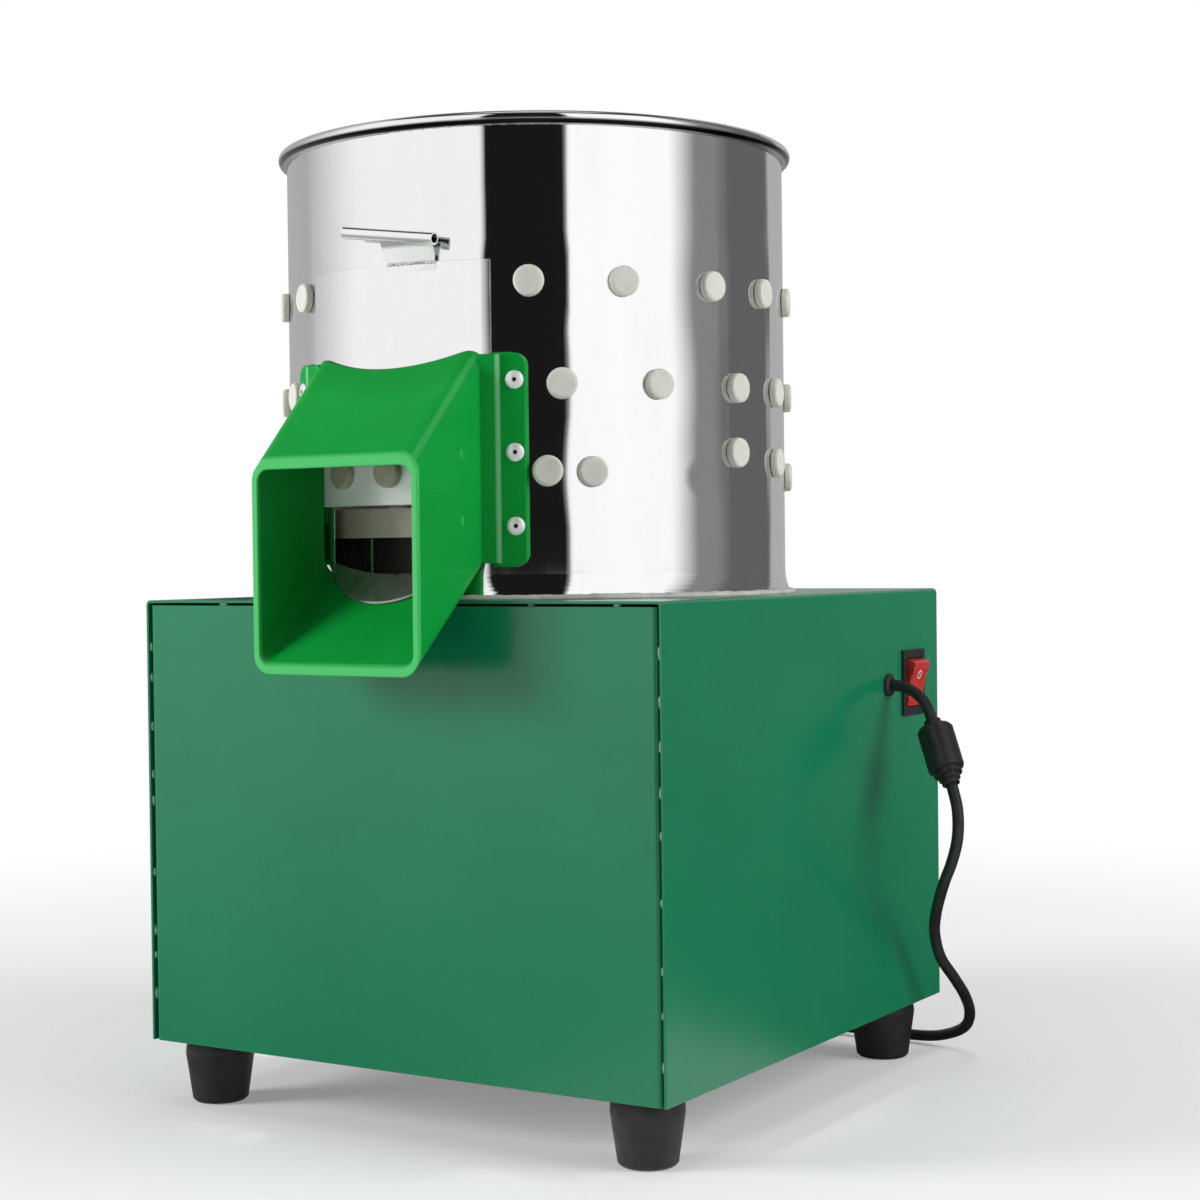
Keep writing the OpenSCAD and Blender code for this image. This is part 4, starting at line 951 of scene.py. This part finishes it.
def chute_marks():
    bm = bmesh.new()
    for side in (-1, 1):
        for n, z in enumerate(MARK_HEIGHTS):
            at = mm(side * MARK_X, MARK_Y, z)
            blob(bm, at, (X * 0.6, Y * 1.6, Z * 3.3), MARK_SEED + n + side, 0.12)
    piece("chute_marks", bm, "chute_plastic", "base", "chute_pale_mark")


# Long seam of the drum sheet at the back, a rippled bead
SEAM_TURN = math.radians(183.2)
SEAM_HALF_W = 2.0
SEAM_COLUMNS = 8
SEAM_ROWS = 330
SEAM_LOW = 14.5
SEAM_LEN = 243.0
RIPPLE_STEP = 1.9


def drum_seam():
    bm = bmesh.new()
    grid = []
    for j in range(SEAM_ROWS + 1):
        z = SEAM_LOW + SEAM_LEN * j / SEAM_ROWS
        row = []
        for i in range(SEAM_COLUMNS + 1):
            u = -1 + 2 * i / SEAM_COLUMNS
            ripple = 0.1 * math.cos(2 * math.pi * (z + 1.2 * u * u) / RIPPLE_STEP)
            ripple += 0.06 * noise.noise(Vector((u * 2, z * 0.4, 3)))
            r = DRUM_R + (0.3 + ripple) * (1 - u * u) - 0.02
            t = SEAM_TURN + u * SEAM_HALF_W / DRUM_R
            row.append(bm.verts.new(mm(r * math.sin(t), -r * math.cos(t), DECK + z)))
        grid.append(row)
    for first, second in zip(grid, grid[1:]):
        for i in range(SEAM_COLUMNS):
            bm.faces.new((first[i], first[i + 1], second[i + 1], second[i]))
    piece("drum_seam", bm, "stainless", "base", "weld")


# Broken-off rivet stems, as distance from the drum's axis and radius; their near-black is painted shade of
# the hollow cores
STEM_PROFILE = ((151.5, 1.12), (153.6, 1.12), (153.95, 0.95), (154.15, 0.6))
STEM_SIDES = 16


def stem_ring(bm, side, n, r, radius):
    out, along = around(RIVET_TURN * side)
    ring = []
    for i in range(STEM_SIDES):
        t = 2 * math.pi * i / STEM_SIDES
        uneven = 0.12 * noise.noise(Vector((i, n, side)))
        across = along * math.cos(t) + Vector((0, 0, 1)) * math.sin(t)
        at = out * (r + uneven) * MM + Z * (DECK + RIVET_HEIGHTS[n])
        ring.append(bm.verts.new(at + across * radius * MM))
    return ring


def rivet_cores():
    bm = bmesh.new()
    for side in (-1, 1):
        for n in range(len(RIVET_HEIGHTS)):
            skin(bm, [stem_ring(bm, side, n, r, radius) for r, radius in STEM_PROFILE])
    piece("rivet_cores", bm, "rivet", "base", "rivet_core")


# Raised off and on marks on the rocker's hollow face
ROCKER_AT = (SIDE - 0.6, MID + 137, DECK - 58.5)
ROCKER_TILT = math.radians(11)
ROCKER_TOP = 5.5
HOLLOW_R = 37.6
HOLLOW_OUT = 41.9
MARK_LIFT = 0.05
OFF_STEPS = 40
OFF_SIZE = (2.3, 2.6)
OFF_Z = 5.8
OFF_R = 0.36
ON_STEPS = 11
ON_STEP = 0.5
ON_Z = -8.2
ON_R = 0.38


def on_rocker(y, z):
    x = min(ROCKER_TOP, HOLLOW_OUT - math.sqrt(HOLLOW_R ** 2 - z * z)) + MARK_LIFT
    return mm(ROCKER_AT[0] + x * math.cos(ROCKER_TILT) + z * math.sin(ROCKER_TILT), ROCKER_AT[1] + y,
              ROCKER_AT[2] - x * math.sin(ROCKER_TILT) + z * math.cos(ROCKER_TILT))


def rocker_marks():
    bm = bmesh.new()
    turns = [2 * math.pi * i / OFF_STEPS for i in range(OFF_STEPS)]
    off = [on_rocker(OFF_SIZE[0] * math.cos(t), OFF_Z + OFF_SIZE[1] * math.sin(t)) for t in turns]
    on = [on_rocker(0, ON_Z + ON_STEP * i) for i in range(ON_STEPS)]
    tube_loop(bm, off, OFF_R * MM)
    tube_loop(bm, on, ON_R * MM, closed=False)
    piece("rocker_marks", bm, "rocker_red", "rocker", "mark_white")


# Ribs of the plug's bend relief
RIBS = 5
RIB_STEPS = 32
RIB_FIRST = 1.8
RIB_APART = 2.3
RIB_RING_R = 5.6
RIB_TAPER = 0.12
RIB_R = 0.75


def plug_ribs():
    bm = bmesh.new()
    turns = [2 * math.pi * j / RIB_STEPS for j in range(RIB_STEPS)]
    for i in range(RIBS):
        out = RIB_FIRST + RIB_APART * i
        r = RIB_RING_R + RIB_TAPER * out
        ring = [(PLUG[-1] + V(-out, r * math.cos(t), r * math.sin(t))) * MM for t in turns]
        tube_loop(bm, ring, RIB_R * MM, 8)
    piece("plug_ribs", bm, "cord_black", "base")


# Floor, white far off for the camera, toned by heading where steel mirrors it
FLOOR_R = 30
FLOOR_TONE = (0.86, 0.86, 0.86, 1)
FLOOR_DROP = 0.0005
# Tones that mirrors show far off and near, by degrees of heading
FLOOR_FAR = [(-180, 0.35), (-120, 0.4), (-70, 0.8), (-40, 0.92), (5, 0.86), (14, 0.14), (44, 0.14),
             (52, 0.92), (92, 0.92), (108, 0.23), (165, 0.14), (180, 0.35)]
FLOOR_NEAR = [(-180, 0.7), (-70, 0.7), (-56, 0.24), (-8, 0.24), (4, 0.7), (112, 0.7), (124, 0.05),
              (168, 0.04), (178, 0.7)]


def floor_material():
    material = bpy.data.materials.new("floor")
    material.use_nodes = True
    nodes = Nodes(material.node_tree, "NewGeometry", "Position")
    ray = nodes.new("LightPath").outputs
    away = nodes.vector("LENGTH", nodes.place, output="Value")
    white = nodes.spread(away, 0.35, 1.3, 0.25, 1.0, smooth=True)
    share = nodes.calc("MULTIPLY_ADD", ray["Is Camera Ray"], white, ray["Is Glossy Ray"], clamp=True)
    far = nodes.spread(away, 0.3, 2.6)
    mirrored = nodes.mix(far, nodes.by_heading(FLOOR_NEAR), nodes.by_heading(FLOOR_FAR))
    matt = nodes.new("BsdfDiffuse")
    matt.inputs[0].default_value = FLOOR_TONE
    glow = nodes.new("Emission")
    nodes.put(glow.inputs[0], nodes.mix(ray["Is Glossy Ray"], (1, 1, 1), mirrored))
    nodes.finish("Material", nodes.blend(share, matt.outputs[0], glow.outputs[0]))
    return material


def studio_floor():
    bm = bmesh.new()
    bmesh.ops.create_circle(bm, cap_ends=True, segments=96, radius=FLOOR_R)
    mesh = bpy.data.meshes.new("floor")
    bm.to_mesh(mesh)
    bm.free()
    mesh.materials.append(floor_material())
    floor = bpy.data.objects.new("floor", mesh)
    floor.location.z = -FLOOR_DROP
    scene.collection.objects.link(floor)


# Studio cards that the polished steel shows, from and to in degrees of heading, and tone
PEAK = 1.12
BRIGHT = 1.1
WHITE = 1.0
PALE = 0.45
GREY = 0.25
DARK = 0.13
BLACK = 0.01
CARDS = [
    (-180, -142, PALE),  # back wall, left part
    (-140, -139, BLACK),  # gap beside it
    (-137, -95, PALE),  # left wall
    (-55, 9, WHITE),  # front wall, to which the left wall brightens
    (11, 46, BLACK),  # tall black flag
    (48, 96, BRIGHT),  # right wall, nearest to its lamp
    (110, 122, GREY),  # grey card
    (132, 165, DARK),  # dark card
    (169, 180, PALE),  # back wall, right part
]
SOFT_LIGHT = 0.4
TOP_TONE = 0.8


def studio():
    """Soft light all round, cards and a dark ring round a top light in mirrors, white for the camera."""
    world = bpy.data.worlds.new("studio")
    scene.world = world
    world.use_nodes = True
    nodes = Nodes(world.node_tree, "TexCoord", "Generated")
    ray = nodes.new("LightPath").outputs
    mirrored = nodes.calc("MAXIMUM", ray["Is Glossy Ray"], ray["Is Transmission Ray"])
    stops = [stop for start, end, tone in CARDS for stop in ((start, tone), (end, tone))]
    walls = nodes.by_heading(stops, PEAK)
    ring = nodes.calc("SUBTRACT", TOP_TONE, nodes.calc("MULTIPLY", mirrored, 0.75))
    crown = nodes.calc("SUBTRACT", TOP_TONE, nodes.calc("MULTIPLY", mirrored, 0.25))
    height = nodes.axis("Z")
    dome = nodes.mix(nodes.spread(height, 0.78, 0.86, smooth=True), walls, ring)
    dome = nodes.mix(nodes.spread(height, 0.94, 0.985, smooth=True), dome, crown)
    room = nodes.new("Background")
    nodes.put(room.inputs[0], dome)
    strength = nodes.calc("MULTIPLY", mirrored, PEAK - SOFT_LIGHT)
    nodes.put(room.inputs[1], nodes.calc("ADD", strength, SOFT_LIGHT))
    white = nodes.new("Background")
    white.inputs[0].default_value = (1, 1, 1, 1)
    nodes.finish("World", nodes.blend(ray["Is Camera Ray"], room.outputs[0], white.outputs[0]))


LAMP_AIM = Vector((0, 0, 0.3))


def lamp(name, at, size, watts, spread=180):
    """Square area lamp, aimed at the part and left out of reflections."""
    data = bpy.data.lights.new(name, "AREA")
    data.shape = "RECTANGLE"
    data.size = size
    data.size_y = size
    data.energy = watts
    data.spread = math.radians(spread)
    made = bpy.data.objects.new(name, data)
    made.location = at
    made.rotation_euler = (LAMP_AIM - Vector(at)).to_track_quat("-Z", "Y").to_euler()
    made.visible_glossy = False
    scene.collection.objects.link(made)


# Making the scene
photo_camera()
cord = mains_cord()
tie = coil_tie()
dress_solids()
seal_bead()
weld_rng = random.Random(11)
seam_welds(weld_rng)
gate_welds(weld_rng)
chute_marks()
drum_seam()
rivet_cores()
rocker_marks()
plug_ribs()
studio_floor()
studio()
lamp("key_left", (-2.2, -2.1, 1.15), 1.1, 84)
lamp("fill_right", (2.5, 0.5, 1.4), 1.6, 54)
lamp("top", (0.1, 0.2, 2.6), 1.8, 14)
lamp("into_drum", (0, 0, 2.3), 0.1, 0.36, spread=10)

bpy.context.view_layer.update()
